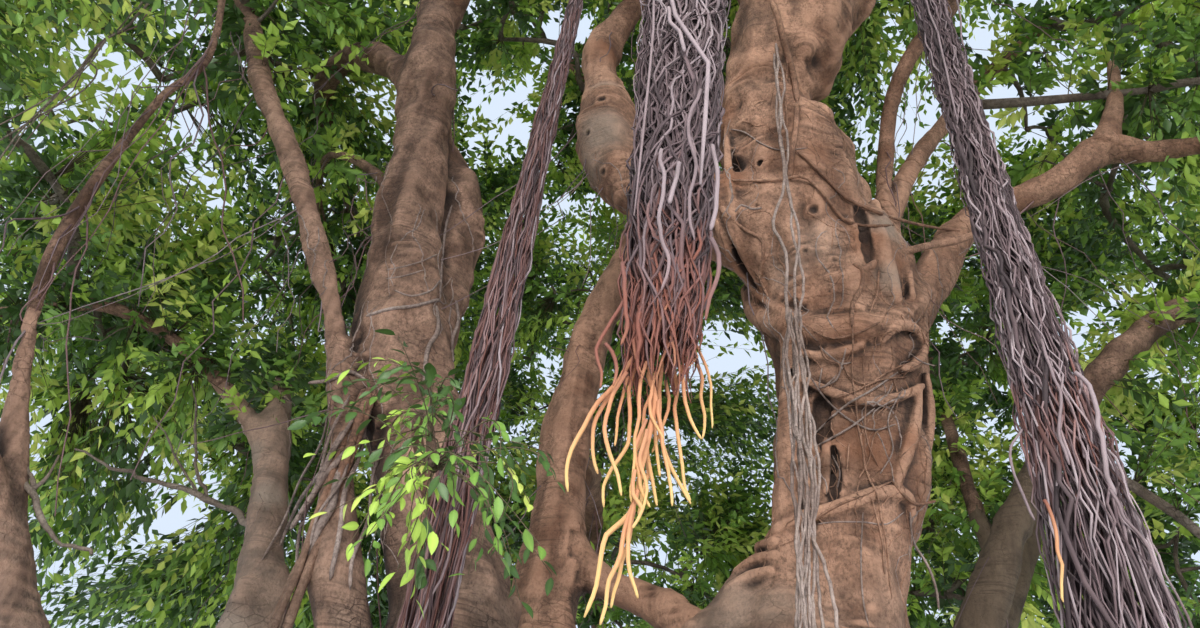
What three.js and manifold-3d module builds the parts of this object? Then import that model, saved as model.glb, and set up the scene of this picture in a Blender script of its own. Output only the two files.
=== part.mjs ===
// A mature fig tree, whole, standing on level ground: a fused and buttressed bole that forks low
// into seven stems, boughs that spread from them, curtains of hanging aerial roots, and a broad
// dome of leaf masses. Millimetres, +Z up, origin at the middle of the flat cut at ground level.
// +X is to the right and +Y away, for a person who stands under the crown and looks at the tree.
import * as THREE from "three";
import { mergeVertices } from "three/addons/utils/BufferGeometryUtils.js";
import Module from "manifold-3d";

const wasm = await Module();
wasm.setup();

const GAP = 0.35; // clearance that separates neighbouring solids
const TURN = 2 * Math.PI;

// The bole, from the ground to the fork
const BOLE = {
  height: 2150, // top of the fused wood, where the stems part
  waist: 1270, // radius at breast height
  crown: 1080, // radius at the fork
  valley: 1500, // radius at the ground between two buttresses
  buttress: 1250, // how far a buttress stands out from the valley at the ground
  flareHeight: 560, // height over which the flare dies away
  ridges: 9, // number of buttresses
  ridgeWidth: 0.2, // half width of a buttress, in radians
  centre: [0, 150], // middle of the bole in plan
};

// Stems, which grow out of the bole. Each row of a path is x, y, z and the radius there. What is
// fused to a stem has a path of its own: a shoulder, a bulge, a ring of root or a root column.
const STEMS = [
  {
    name: "stem_right",
    path: [
      [700, 60, 1300, 620],
      [920, 20, 3000, 430],
      [1000, 0, 3860, 345],
      [1130, 0, 4520, 430],
      [1190, -20, 5120, 480],
      [1140, -120, 5800, 545],
      [930, -230, 6370, 510],
      [770, -340, 6950, 490],
      [610, -540, 7620, 340],
      [710, -780, 8120, 460],
      [790, -950, 8500, 480],
    ],
    fused: [
      [
        [60, 150, 1900, 360],
        [240, 140, 2950, 340],
        [380, 100, 3380, 250],
        [660, 20, 3800, 190],
        [900, 0, 4200, 130],
      ],
      [
        [740, -80, 3800, 160],
        [660, -140, 3400, 270],
        [550, -160, 2600, 420],
      ],
      [
        [560, 90, 6080, 75],
        [600, -30, 5750, 85],
        [720, -330, 5400, 90],
        [980, -500, 5260, 90],
        [1310, -530, 5380, 90],
        [1580, -430, 5760, 80],
        [1640, -180, 6080, 70],
      ],
      [
        [740, -300, 5300, 75],
        [710, -210, 4500, 80],
        [650, -170, 3750, 85],
        [540, -320, 2700, 100],
        [480, -480, 1800, 150],
      ],
    ],
  },
  {
    name: "stem_left",
    path: [
      [-750, 0, 1300, 450],
      [-1020, 0, 3300, 330],
      [-1420, 0, 4300, 300],
      [-1760, 0, 5050, 300],
      [-1890, 0, 5750, 260],
      [-2050, -10, 6700, 225],
      [-2200, -140, 7800, 210],
      [-2340, -300, 8900, 170],
      [-2280, -740, 11800, 60],
    ],
    fused: [
      [
        [-1560, 130, 5200, 120],
        [-1650, 270, 6100, 190],
        [-1800, 300, 6850, 235],
        [-2060, 200, 7500, 100],
      ],
    ],
    mass: "leaf_top_4",
  },
  {
    name: "stem_slim",
    path: [
      [-900, -80, 1900, 240],
      [-1660, -200, 3500, 135],
      [-1840, -200, 4250, 100],
      [-2110, -200, 4960, 90],
      [-2850, -200, 6390, 85],
      [-3400, -200, 7290, 82],
      [-4090, -200, 8570, 76],
      [-5200, 0, 9600, 40],
    ],
    mass: "leaf_mid_7",
  },
  {
    name: "stem_grey",
    path: [
      [-900, 350, 1500, 400],
      [-2050, 560, 3000, 240],
      [-2320, 700, 3800, 155],
      [-2660, 900, 4870, 125],
      [-2950, 1300, 5600, 110],
      [-3900, 4700, 6000, 50],
    ],
    mass: "leaf_low_9",
  },
  {
    name: "stem_edge",
    path: [
      [-1200, -250, 1100, 300],
      [-2450, -500, 2450, 200],
      [-2900, -600, 3050, 115],
      [-3200, -700, 3690, 66],
      [-3440, -900, 4610, 48],
      [-3340, -1100, 5830, 38],
      [-3180, -1200, 6280, 36],
      [-3680, -3680, 9000, 26],
    ],
    mass: "leaf_mid_6",
  },
  {
    name: "stem_back",
    path: [
      [-200, 700, 1900, 330],
      [-600, 1150, 4000, 215],
      [-620, 1200, 5300, 180],
      [-520, 1200, 6500, 160],
      [-160, 1200, 8200, 150],
      [-1410, 1940, 11800, 60],
    ],
    fused: [
      [
        [-560, 1150, 4500, 90],
        [-250, 1000, 4130, 115],
        [60, 790, 3940, 110],
        [330, 480, 3600, 130],
        [450, 300, 2700, 160],
      ],
    ],
    mass: "leaf_top_5",
  },
  {
    name: "stem_far",
    path: [
      [800, 600, 1400, 420],
      [2050, 1550, 3200, 265],
      [2930, 2150, 4750, 200],
      [3320, 2250, 5400, 165],
      [3740, 2500, 6150, 130],
      [3900, 4700, 5600, 50],
    ],
    mass: "leaf_low_2",
  },
];

// Boughs, each from the stem that carries it to the leaf mass that it enters.
const BOUGHS = [
  {
    name: "bough_elbow",
    path: [
      [1300, -60, 5450, 230],
      [1890, 0, 6310, 155],
      [2100, 0, 6740, 145],
      [2430, 30, 7200, 130],
      [3050, -250, 7490, 115],
      [3380, -400, 7760, 122],
      [3720, -500, 7680, 86],
      [4100, -900, 7450, 70],
      [5300, -3050, 6300, 40],
    ],
    mass: "leaf_low_4",
  },
  {
    name: "bough_elbow_spur",
    path: [
      [3380, -420, 7730, 90],
      [3480, -460, 7980, 86],
      [3640, -500, 8400, 70],
      [3790, -500, 9000, 50],
    ],
  },
  {
    name: "bough_pale",
    path: [
      [1440, -330, 5700, 120],
      [1510, -260, 6450, 86],
      [1610, -130, 7200, 75],
      [1690, -150, 7750, 70],
      [1770, -300, 8320, 70],
      [1960, -500, 8790, 66],
      [2300, -700, 9300, 62],
      [2280, -740, 11800, 34],
    ],
    mass: "leaf_top_2",
  },
  {
    name: "bough_fork",
    path: [
      [1500, 60, 6400, 120],
      [1840, 100, 7500, 88],
      [2060, 110, 7960, 80],
      [2700, 200, 9120, 76],
      [3430, 200, 10220, 66],
      [3900, 0, 10700, 46],
    ],
    mass: "leaf_mid_3",
  },
  {
    name: "bough_sawn",
    path: [
      [850, -300, 6150, 340],
      [300, -300, 6380, 290],
      [-300, -300, 6600, 255],
      [-570, -300, 7000, 250],
      [-680, -300, 7480, 215],
      [-770, -300, 7980, 150],
      [-780, -300, 8420, 168],
      [-640, -380, 8880, 110],
      [-430, -480, 9350, 70],
    ],
  },
  {
    name: "bough_low_right",
    path: [
      [2150, 1600, 3500, 180],
      [3000, 1150, 5500, 130],
      [3800, 600, 6570, 112],
      [4620, 600, 7100, 100],
      [6000, 1060, 6400, 50],
    ],
    mass: "leaf_low_3",
  },
  {
    name: "bough_far_rise",
    path: [
      [3150, 2200, 5100, 110],
      [3250, 2700, 7000, 80],
      [3680, 3680, 9200, 45],
    ],
    mass: "leaf_mid_2",
  },
  {
    name: "bough_back_low",
    path: [
      [-610, 1150, 4500, 130],
      [-400, 2600, 5900, 110],
      [0, 6100, 5800, 50],
    ],
    mass: "leaf_low_1",
  },
  {
    name: "bough_back_rise",
    path: [
      [-480, 1200, 6700, 115],
      [-300, 2300, 8000, 95],
      [0, 5200, 9200, 45],
    ],
    mass: "leaf_mid_1",
  },
  {
    name: "bough_left_knuckle",
    path: [
      [-2190, -100, 7500, 140],
      [-2560, -50, 8080, 125],
      [-3120, 200, 8500, 110],
      [-3480, 700, 8620, 95],
      [-3680, 3680, 9500, 45],
    ],
    mass: "leaf_mid_8",
  },
  {
    name: "bough_left_pale",
    path: [
      [-1950, 50, 6150, 80],
      [-2550, 420, 7200, 52],
      [-3230, 900, 7900, 42],
      [-3600, 1900, 8300, 36],
      [-3680, 3680, 8700, 30],
    ],
    mass: "leaf_mid_8",
  },
  {
    name: "bough_low_left",
    path: [
      [-2600, 850, 4650, 85],
      [-3400, 850, 5350, 60],
      [-4100, 600, 5530, 52],
      [-4540, 500, 5300, 48],
      [-6000, 1060, 5500, 35],
    ],
    mass: "leaf_low_8",
  },
  {
    name: "bough_left_front",
    path: [
      [-2850, -590, 2980, 95],
      [-3500, -1100, 3900, 84],
      [-4300, -1950, 4900, 70],
      [-5300, -3050, 6200, 42],
    ],
    mass: "leaf_low_7",
  },
  {
    name: "bough_front",
    path: [
      [780, -900, 8200, 260],
      [600, -1750, 9150, 200],
      [-370, -3060, 9450, 150],
      [0, -5200, 9300, 60],
    ],
    mass: "leaf_mid_5",
  },
  {
    name: "bough_front_right",
    path: [
      [820, -1000, 8300, 200],
      [1020, -2290, 9000, 150],
      [2300, -3000, 9300, 110],
      [3680, -3680, 9300, 50],
    ],
    mass: "leaf_mid_4",
  },
  {
    name: "bough_front_left",
    path: [
      [-2310, -250, 8650, 150],
      [-1900, -800, 9350, 120],
      [-1350, -1120, 9680, 115],
      [-950, -1440, 9760, 110],
      [-860, -1980, 9760, 100],
      [-1700, -2900, 9600, 90],
      [-3680, -3680, 9500, 45],
    ],
    mass: "leaf_mid_6",
  },
  {
    name: "bough_front_low_right",
    path: [
      [1060, -2350, 8980, 110],
      [1750, -3900, 8300, 95],
      [2000, -4900, 7300, 70],
      [2100, -5700, 5900, 40],
    ],
    mass: "leaf_low_5",
  },
  {
    name: "bough_front_low_left",
    path: [
      [-430, -3100, 9400, 110],
      [-1350, -3900, 8500, 95],
      [-1900, -4900, 7300, 70],
      [-2100, -5700, 5900, 40],
    ],
    mass: "leaf_low_6",
  },
  {
    name: "bough_up_back",
    path: [
      [800, -820, 7950, 300],
      [1130, -940, 8800, 290],
      [1450, -400, 9900, 220],
      [1500, 700, 10800, 150],
      [1410, 1940, 11800, 60],
    ],
    mass: "leaf_top_1",
  },
  {
    name: "bough_up_front",
    path: [
      [700, -1000, 8300, 220],
      [300, -1500, 9900, 150],
      [0, -2400, 11800, 60],
    ],
    mass: "leaf_top_3",
  },
  {
    name: "bough_up_centre",
    path: [
      [720, -880, 8250, 260],
      [420, -520, 9800, 190],
      [100, -100, 11400, 120],
      [0, 0, 12900, 50],
    ],
    mass: "leaf_cap",
  },
  {
    name: "twig_shoots",
    path: [
      [-1180, -150, 3700, 40],
      [-1250, -1000, 3750, 28],
      [-1080, -1750, 3400, 20],
      [-930, -2120, 2950, 12],
    ],
    mass: "leaf_shoots",
  },
];

// Aerial roots, which hang plumb from the bough above them. Each row is a height and the radius
// of the bundle there.
const ROOTS = [
  {
    name: "root_curtain_centre",
    plumb: [-370, -3060],
    profile: [
      [9400, 60],
      [7500, 110],
      [5200, 138],
      [4180, 126],
      [3400, 108],
      [2880, 88],
      [2600, 84],
      [2390, 50],
      [2170, 14],
    ],
  },
  {
    name: "root_curtain_right",
    plumb: [970, -2290],
    profile: [
      [9000, 50],
      [7000, 62],
      [6000, 72],
      [5100, 72],
      [4400, 80],
      [3850, 90],
      [3400, 106],
      [2670, 136],
      [2100, 130],
      [1500, 30],
    ],
  },
  {
    name: "root_curtain_left",
    plumb: [-950, -1435],
    profile: [
      [9800, 30],
      [7100, 42],
      [5900, 54],
      [5000, 66],
      [4290, 82],
      [3230, 88],
      [2740, 86],
      [2200, 76],
      [1650, 20],
    ],
  },
  {
    name: "root_strands_front",
    plumb: [520, -950],
    profile: [
      [8600, 20],
      [6500, 26],
      [5170, 32],
      [3140, 26],
      [2500, 12],
    ],
  },
  {
    name: "root_pillar_left",
    plumb: [-1780, -520],
    lean: [-1760, -250],
    profile: [
      [4350, 44],
      [3430, 40],
      [2300, 46],
      [900, 62],
      [2, 95],
    ],
  },
];

// Leaf masses, set in rings round the trunk. reach is the half size outwards, across and up.
const TIERS = [
  { name: "leaf_low", count: 9, ring: 6250, height: 5600, turn: 0, reach: [2500, 2750, 2300] },
  { name: "leaf_mid", count: 8, ring: 5250, height: 9150, turn: 0, reach: [2550, 2700, 2250] },
  { name: "leaf_top", count: 5, ring: 2550, height: 11500, turn: 0.1, reach: [2450, 2500, 2000] },
  { name: "leaf_cap", count: 1, ring: 0, height: 12700, turn: 0, reach: [2300, 2300, 1500] },
];
const SHOOTS = { name: "leaf_shoots", centre: [-1010, -2120, 2860], reach: [650, 330, 440] };
const FLAT_UNDERSIDE = 0.72; // the lower half of a mass is this much shallower than the upper
const INNER_REACH = 0.86; // the side of a mass that faces the trunk reaches this much less
const LUMPS = 0.11; // how uneven a mass is, as a share of its reach
const UNLIKE = 0.09; // how much the masses of one ring differ in size
const MASS_DETAIL = 2; // subdivision of the ball that a mass starts from

// Facets of a limb: sides round it, and the length of one step along it
const MESH = {
  stems: { sides: 7, step: 1000 },
  boughs: { sides: 5, step: 1000 },
  fused: { sides: 5, step: 1000 },
};

// Finish of each kind of piece, with the share by which its lightness differs between pieces
const FINISHES = {
  bole: { color: 0x8c7b6c, roughness: 0.9, spread: 0 },
  stems: { color: 0xa98a72, roughness: 0.85, spread: 0.12 },
  boughs: { color: 0x9a8069, roughness: 0.85, spread: 0.16 },
  aerial_roots: { color: 0x7b6768, roughness: 0.9, spread: 0.14 },
  leaf_masses: { color: 0x3f6b23, roughness: 0.6, spread: 0.22 },
};

// A closed skin over a stack of rings, each a list of points, with a fan over each end.
function skin(rings, footCentre, tipCentre) {
  const sides = rings[0].length;
  const points = [...rings.flat(), footCentre, tipCentre];
  const foot = points.length - 2;
  const tip = points.length - 1;
  const lastRing = (rings.length - 1) * sides;
  const index = [];
  for (let s = 0; s < sides; s++) {
    const next = (s + 1) % sides;
    index.push(foot, next, s);
    index.push(tip, lastRing + s, lastRing + next);
    for (let r = 0; r < rings.length - 1; r++) {
      const below = r * sides;
      const above = below + sides;
      index.push(below + s, below + next, above + next);
      index.push(below + s, above + next, above + s);
    }
  }
  const geometry = new THREE.BufferGeometry().setFromPoints(points);
  geometry.setIndex(index);
  return geometry;
}

// A round limb that follows a smooth curve through its path and tapers between the radii given.
function limbGeometry(path, grow, { sides, step }) {
  const curve = new THREE.CatmullRomCurve3(
    path.map(([x, y, z]) => new THREE.Vector3(x, y, z)),
    false,
    "centripetal",
  );
  const spans = path.length - 1;
  const perSpan = Math.max(1, Math.round(curve.getLength() / spans / step));
  const steps = spans * perSpan;
  const across = new THREE.Vector3(1, 0, 0);
  const rings = [];
  for (let i = 0; i <= steps; i++) {
    const t = i / steps;
    const span = Math.min(Math.floor(t * spans), spans - 1);
    const share = t * spans - span;
    const radius = THREE.MathUtils.lerp(path[span][3], path[span + 1][3], share) + grow;
    const along = curve.getTangent(t);
    across.addScaledVector(along, -across.dot(along)).normalize();
    const up = new THREE.Vector3().crossVectors(along, across);
    const centre = curve.getPoint(t);
    const ring = [];
    for (let s = 0; s < sides; s++) {
      const angle = (TURN * s) / sides;
      ring.push(
        centre
          .clone()
          .addScaledVector(across, radius * Math.cos(angle))
          .addScaledVector(up, radius * Math.sin(angle)),
      );
    }
    rings.push(ring);
  }
  const foot = curve.getPoint(0).addScaledVector(curve.getTangent(0), -grow);
  const tip = curve.getPoint(1).addScaledVector(curve.getTangent(1), grow);
  return skin(rings, foot, tip);
}

// How far a buttress stands out at an angle: the tallest of the ridges there, from 0 to 1.
function ridgeAt(angle) {
  let tallest = 0;
  for (let k = 0; k < BOLE.ridges; k++) {
    const middle = (TURN * (k + 0.22 * Math.sin(5 * k + 1))) / BOLE.ridges;
    const apart = Math.atan2(Math.sin(angle - middle), Math.cos(angle - middle));
    const size = 0.78 + 0.22 * Math.sin(3 * k + 2);
    tallest = Math.max(tallest, size * Math.exp(-((apart / BOLE.ridgeWidth) ** 2)));
  }
  return tallest;
}

// The bole's radius: a waist that narrows to the fork, a flare at the ground, and buttresses.
function boleRadius(angle, z) {
  const share = z / BOLE.height;
  const rounding = 1 - 0.35 * share ** 8; // rounds the shoulder over at the fork
  const column = rounding * THREE.MathUtils.lerp(BOLE.waist, BOLE.crown, share ** 3);
  const flare = Math.exp(-z / BOLE.flareHeight);
  const ridge = ridgeAt(angle);
  const fluting = 70 * (ridge - 0.5) * (1 - share);
  return column + fluting + flare * (BOLE.valley - BOLE.waist + BOLE.buttress * ridge);
}

function boleGeometry(grow) {
  const sides = 36;
  const heights = [0, 130, 320, 600, 1000, 1500, 1900, BOLE.height];
  const [cx, cy] = BOLE.centre;
  const rings = heights.map((z) => {
    const ring = [];
    for (let s = 0; s < sides; s++) {
      const angle = (TURN * s) / sides;
      const radius = boleRadius(angle, z) + grow;
      ring.push(new THREE.Vector3(cx + radius * Math.cos(angle), cy + radius * Math.sin(angle), z));
    }
    return ring;
  });
  rings[rings.length - 1].forEach((p) => (p.z += grow));
  const foot = new THREE.Vector3(cx + 240, cy + 170, 0);
  return skin(rings, foot, new THREE.Vector3(cx, cy, BOLE.height + 120 + grow));
}

// A hanging bundle of roots: rings round a plumb line, or round a line that leans to a foot.
function rootGeometry({ plumb, lean = plumb, profile }, grow) {
  const [top] = profile[0];
  const [bottom] = profile[profile.length - 1];
  const sides = 6;
  const rings = [...profile].reverse().map(([z, radius]) => {
    const share = (top - z) / (top - bottom);
    const x = THREE.MathUtils.lerp(plumb[0], lean[0], 1 - share);
    const y = THREE.MathUtils.lerp(plumb[1], lean[1], 1 - share);
    const ring = [];
    for (let s = 0; s < sides; s++) {
      const angle = (TURN * s) / sides;
      const r = radius + grow;
      ring.push(new THREE.Vector3(x + r * Math.cos(angle), y + r * Math.sin(angle), z));
    }
    return ring;
  });
  const middle = (ring) =>
    ring.reduce((sum, p) => sum.add(p), new THREE.Vector3()).divideScalar(ring.length);
  return skin(rings, middle(rings[0]), middle(rings[rings.length - 1]));
}

// Every leaf mass: its centre, and the directions in which its half sizes are measured.
function leafMasses() {
  const masses = [];
  for (const tier of TIERS) {
    for (let k = 0; k < tier.count; k++) {
      const angle = tier.turn + (TURN * k) / tier.count; // clockwise from +Y, seen from above
      const outward = new THREE.Vector3(Math.sin(angle), Math.cos(angle), 0);
      const lift = 260 * Math.sin(7 * k + tier.count);
      masses.push({
        name: tier.count > 1 ? `${tier.name}_${k + 1}` : tier.name,
        centre: outward.clone().multiplyScalar(tier.ring).setZ(tier.height + lift),
        outward,
        reach: tier.reach,
        seed: masses.length + 1,
      });
    }
  }
  const centre = new THREE.Vector3(...SHOOTS.centre);
  masses.push({ ...SHOOTS, centre, outward: new THREE.Vector3(1, 0, 0), seed: 40 });
  return masses;
}

// The distance from a mass's centre to its surface: an ellipsoid with lumps, held back from the
// plane half way to each neighbour, so that no two masses meet.
function massRadius(mass, direction, masses) {
  const across = new THREE.Vector3(-mass.outward.y, mass.outward.x, 0);
  const up = direction.z / mass.reach[2] / (direction.z < 0 ? FLAT_UNDERSIDE : 1);
  const outward = direction.dot(mass.outward);
  const out = outward / mass.reach[0] / (outward < 0 ? INNER_REACH : 1);
  const side = direction.dot(across) / mass.reach[1];
  const lumps =
    Math.sin(3.1 * direction.x + 1.7 * mass.seed) * Math.cos(2.7 * direction.y - mass.seed) +
    0.6 * Math.sin(5.3 * direction.z + 4.1 * direction.x + 2.3 * mass.seed);
  const size = 1 + UNLIKE * Math.sin(2.6 * mass.seed);
  let radius = (size * (1 + LUMPS * lumps)) / Math.hypot(out, side, up);
  for (const other of masses) {
    if (other === mass) continue;
    const between = other.centre.clone().sub(mass.centre);
    const facing = direction.dot(between) / between.length();
    if (facing > 0) radius = Math.min(radius, (between.length() - GAP) / 2 / facing);
  }
  return radius;
}

function massGeometry(mass, masses, grow) {
  const ball = new THREE.IcosahedronGeometry(1, MASS_DETAIL);
  ball.deleteAttribute("normal");
  ball.deleteAttribute("uv");
  const geometry = mergeVertices(ball);
  const place = geometry.getAttribute("position");
  const point = new THREE.Vector3();
  for (let i = 0; i < place.count; i++) {
    point.fromBufferAttribute(place, i).normalize();
    point.multiplyScalar(massRadius(mass, point, masses) + grow).add(mass.centre);
    place.setXYZ(i, point.x, point.y, point.z);
  }
  return geometry;
}

function toSolid(geometry) {
  const bare = new THREE.BufferGeometry();
  bare.setAttribute("position", geometry.getAttribute("position"));
  bare.setIndex(geometry.index);
  const merged = mergeVertices(bare, 1e-3);
  return new wasm.Manifold(
    new wasm.Mesh({
      numProp: 3,
      vertProperties: new Float32Array(merged.getAttribute("position").array),
      triVerts: new Uint32Array(merged.index.array),
    }),
  );
}

// The largest body of a solid, once a cut has left chips beside it.
function mainBody(solid) {
  return solid.decompose().sort((a, b) => b.volume() - a.volume())[0];
}

function toGeometry(solid) {
  const { numProp, vertProperties, triVerts } = solid.getMesh();
  const points = [];
  for (let i = 0; i < vertProperties.length; i += numProp) {
    points.push(new THREE.Vector3(...vertProperties.subarray(i, i + 3)));
  }
  const geometry = new THREE.BufferGeometry().setFromPoints(points);
  geometry.setIndex([...triVerts]);
  geometry.computeVertexNormals();
  return geometry;
}

// A mesh that stands at its own origin: where a limb starts, or the middle of a mass.
function addMesh(group, name, solid, origin) {
  const { color, roughness, spread } = FINISHES[group.name];
  const material = new THREE.MeshStandardMaterial({ color, roughness, metalness: 0 });
  material.color.offsetHSL(0, 0, 0.5 * spread * Math.sin(2.4 * group.children.length));
  const mesh = new THREE.Mesh(toGeometry(solid).translate(...origin.map((v) => -v)), material);
  mesh.name = name;
  mesh.position.set(...origin);
  group.add(mesh);
}

function addGroup(name) {
  const group = new THREE.Group();
  group.name = name;
  tree.add(group);
  return group;
}

// A limb as a solid, with whatever is fused to it.
function limbSolid(limb, grow, mesh) {
  let whole = toSolid(limbGeometry(limb.path, grow, mesh));
  for (const path of limb.fused ?? []) {
    whole = whole.add(toSolid(limbGeometry(path, grow, MESH.fused)));
  }
  return whole;
}

const tree = new THREE.Group();
tree.name = "fig_tree";
const masses = leafMasses();
const massSolids = new Map(masses.map((m) => [m.name, toSolid(massGeometry(m, masses, 0))]));

// Cuts each mass round a limb or root that passes through it on the way to somewhere else.
function clearMasses(grown, entered) {
  for (const [name, solid] of massSolids) {
    if (name === entered || solid.intersect(grown).volume() < 1) continue;
    massSolids.set(name, mainBody(solid.subtract(grown)));
  }
}

// The bole stays whole.
addMesh(addGroup("bole"), "trunk", toSolid(boleGeometry(0)), [0, 0, 0]);
const woodGrown = [toSolid(boleGeometry(GAP))];

// Each stem and bough stops at what carries it, and at the leaf mass that it enters.
for (const [kind, limbs] of Object.entries({ stems: STEMS, boughs: BOUGHS })) {
  const group = addGroup(kind);
  for (const limb of limbs) {
    const whole = limbSolid(limb, 0, MESH[kind]);
    const grown = limbSolid(limb, GAP, MESH[kind]).add(whole);
    let solid = whole;
    for (const earlier of woodGrown) solid = solid.subtract(earlier);
    if (limb.mass) {
      const entered = masses.find((m) => m.name === limb.mass);
      solid = solid.subtract(toSolid(massGeometry(entered, masses, 2 * GAP)));
    }
    addMesh(group, limb.name, mainBody(solid), limb.path[0].slice(0, 3));
    woodGrown.push(grown);
    clearMasses(grown, limb.mass);
  }
}

// Each bundle of roots hangs from the underside of the bough that it passes.
const rootGroup = addGroup("aerial_roots");
for (const root of ROOTS) {
  let solid = toSolid(rootGeometry(root, 0));
  for (const wood of woodGrown) solid = solid.subtract(wood);
  addMesh(rootGroup, root.name, mainBody(solid), [...root.plumb, root.profile[0][0]]);
  clearMasses(toSolid(rootGeometry(root, GAP)), null);
}

const massGroup = addGroup("leaf_masses");
for (const { name, centre } of masses) {
  addMesh(massGroup, name, massSolids.get(name), centre.toArray());
}

export default tree;
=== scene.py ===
# %% [markdown]
# # A big fig, whole, with its hanging roots
# The tree is one body that stands on level ground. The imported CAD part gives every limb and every
# leaf mass its place and size. Blender gives them their skin: one wood surface with bark relief,
# curtains made of single roots, and leaves on twigs that grow from the boughs. Each step below
# says what the thing is on a real tree, how it could be made, and why this way was taken.

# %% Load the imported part
import math

import bpy
import numpy as np
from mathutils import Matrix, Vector


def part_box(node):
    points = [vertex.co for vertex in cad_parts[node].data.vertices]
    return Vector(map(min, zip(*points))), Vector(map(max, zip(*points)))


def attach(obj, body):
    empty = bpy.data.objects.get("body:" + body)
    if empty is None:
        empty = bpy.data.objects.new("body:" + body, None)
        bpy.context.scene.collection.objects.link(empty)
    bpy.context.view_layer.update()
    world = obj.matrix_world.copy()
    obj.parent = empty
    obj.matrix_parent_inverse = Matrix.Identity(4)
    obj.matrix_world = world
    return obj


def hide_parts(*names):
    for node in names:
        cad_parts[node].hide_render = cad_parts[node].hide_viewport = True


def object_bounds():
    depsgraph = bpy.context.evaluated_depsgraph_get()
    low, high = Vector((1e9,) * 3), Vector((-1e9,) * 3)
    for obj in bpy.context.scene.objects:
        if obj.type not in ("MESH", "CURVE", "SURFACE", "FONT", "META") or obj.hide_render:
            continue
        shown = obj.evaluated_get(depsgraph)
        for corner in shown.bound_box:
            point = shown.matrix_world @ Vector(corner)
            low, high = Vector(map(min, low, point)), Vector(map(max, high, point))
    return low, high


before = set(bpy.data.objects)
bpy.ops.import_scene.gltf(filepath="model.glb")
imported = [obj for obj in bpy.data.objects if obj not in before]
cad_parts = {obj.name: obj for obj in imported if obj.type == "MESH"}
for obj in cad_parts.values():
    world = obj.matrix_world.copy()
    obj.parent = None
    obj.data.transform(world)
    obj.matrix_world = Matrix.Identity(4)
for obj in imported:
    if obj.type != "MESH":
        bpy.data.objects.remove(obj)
CAD_BOX = [list(corner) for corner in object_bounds()]
TURN = 2 * math.pi
print("nodes:", len(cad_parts), "CAD box:", np.round(CAD_BOX, 2).tolist())

# %% [markdown]
# Tables of places are written as text. A row is one word, its numbers parted by commas. Where a
# table has several parts, semicolons part them.

# %% Tables and directions
def table(text):
    """One array of rows."""
    return np.array([word.split(",") for word in text.split()], float)


def drawn(text):
    """What is drawn through pixels: for each part its own numbers, and the pixels as an array."""
    parts = [part.split(None, 1) for part in text.split(";")]
    return [(*table(own)[0], table(pixels)) for own, pixels in parts]


def named(text):
    """Arrays by name, each part a name and its rows."""
    parts = [part.split(None, 1) for part in text.split(";")]
    return {name: table(rows) for name, rows in parts}


def unit(ways, least=0.0):
    """Directions made one long. least keeps those without length from a division by nought."""
    return ways / (np.linalg.norm(ways, axis=-1, keepdims=True) + least)

# %% [markdown]
# ## The camera
# The photograph was taken from head height under the crown, with the camera tipped up steeply and
# held a little askew. Its place is known because plumb roots run together at one vanishing point.
# The camera's three directions are worked out once as vectors, because the same vectors later turn
# a pixel of the photograph into a line of sight, and so into a place on the bark.

# %% Camera
EYE = np.array([-0.5, -4.4, 1.6])
PITCH, ROLL = math.radians(42.1), math.radians(7.85)
LENS, SENSOR = 26.0, 36.0
PHOTO = (1200, 628)
FOCAL = LENS / SENSOR * PHOTO[0]

AHEAD = np.array([0, math.cos(PITCH), math.sin(PITCH)])
LEVEL, STEEP = np.array([1.0, 0, 0]), np.cross([1.0, 0, 0], AHEAD)
RIGHT = math.cos(ROLL) * LEVEL + math.sin(ROLL) * STEEP
UP = math.cos(ROLL) * STEEP - math.sin(ROLL) * LEVEL


def add_camera():
    """A camera at EYE that looks along AHEAD with UP upwards."""
    lens = bpy.data.cameras.new("camera")
    lens.lens, lens.sensor_width, lens.clip_start, lens.clip_end = LENS, SENSOR, 0.05, 300
    camera = bpy.data.objects.new("camera", lens)
    for row in range(3):
        camera.matrix_world[row][:] = (RIGHT[row], UP[row], -AHEAD[row], EYE[row])
    bpy.context.scene.collection.objects.link(camera)
    bpy.context.scene.camera = camera


def sight(px, py):
    """The direction of the line of sight through a pixel: AHEAD, plus RIGHT and UP by the pixel's
    distance from the picture's middle divided by the focal length, made one long."""
    way = AHEAD + (px - PHOTO[0] / 2) / FOCAL * RIGHT + (PHOTO[1] / 2 - py) / FOCAL * UP
    return way / np.linalg.norm(way)


def in_photo(points):
    """Where points fall in the photograph, as pixels, and how far ahead of the camera they are."""
    apart = np.asarray(points, float) - EYE
    depth = apart @ AHEAD
    safe = np.where(np.abs(depth) < 0.01, 0.01, depth)
    px = PHOTO[0] / 2 + FOCAL * (apart @ RIGHT) / safe
    py = PHOTO[1] / 2 - FOCAL * (apart @ UP) / safe
    return px, py, depth


add_camera()
print("focal length in pixels:", round(FOCAL, 1))

# %% [markdown]
# ## Turning arrays into meshes
# Every piece is worked out as whole numpy arrays of points and faces, and goes into its mesh in one
# call. The faces of a piece come as one or more arrays, of triangles or of quads. A piece may carry
# a number for each point, such as how deep it lies in a crevice, which its finish reads.

# %% Mesh helper
PIECES = []


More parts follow.
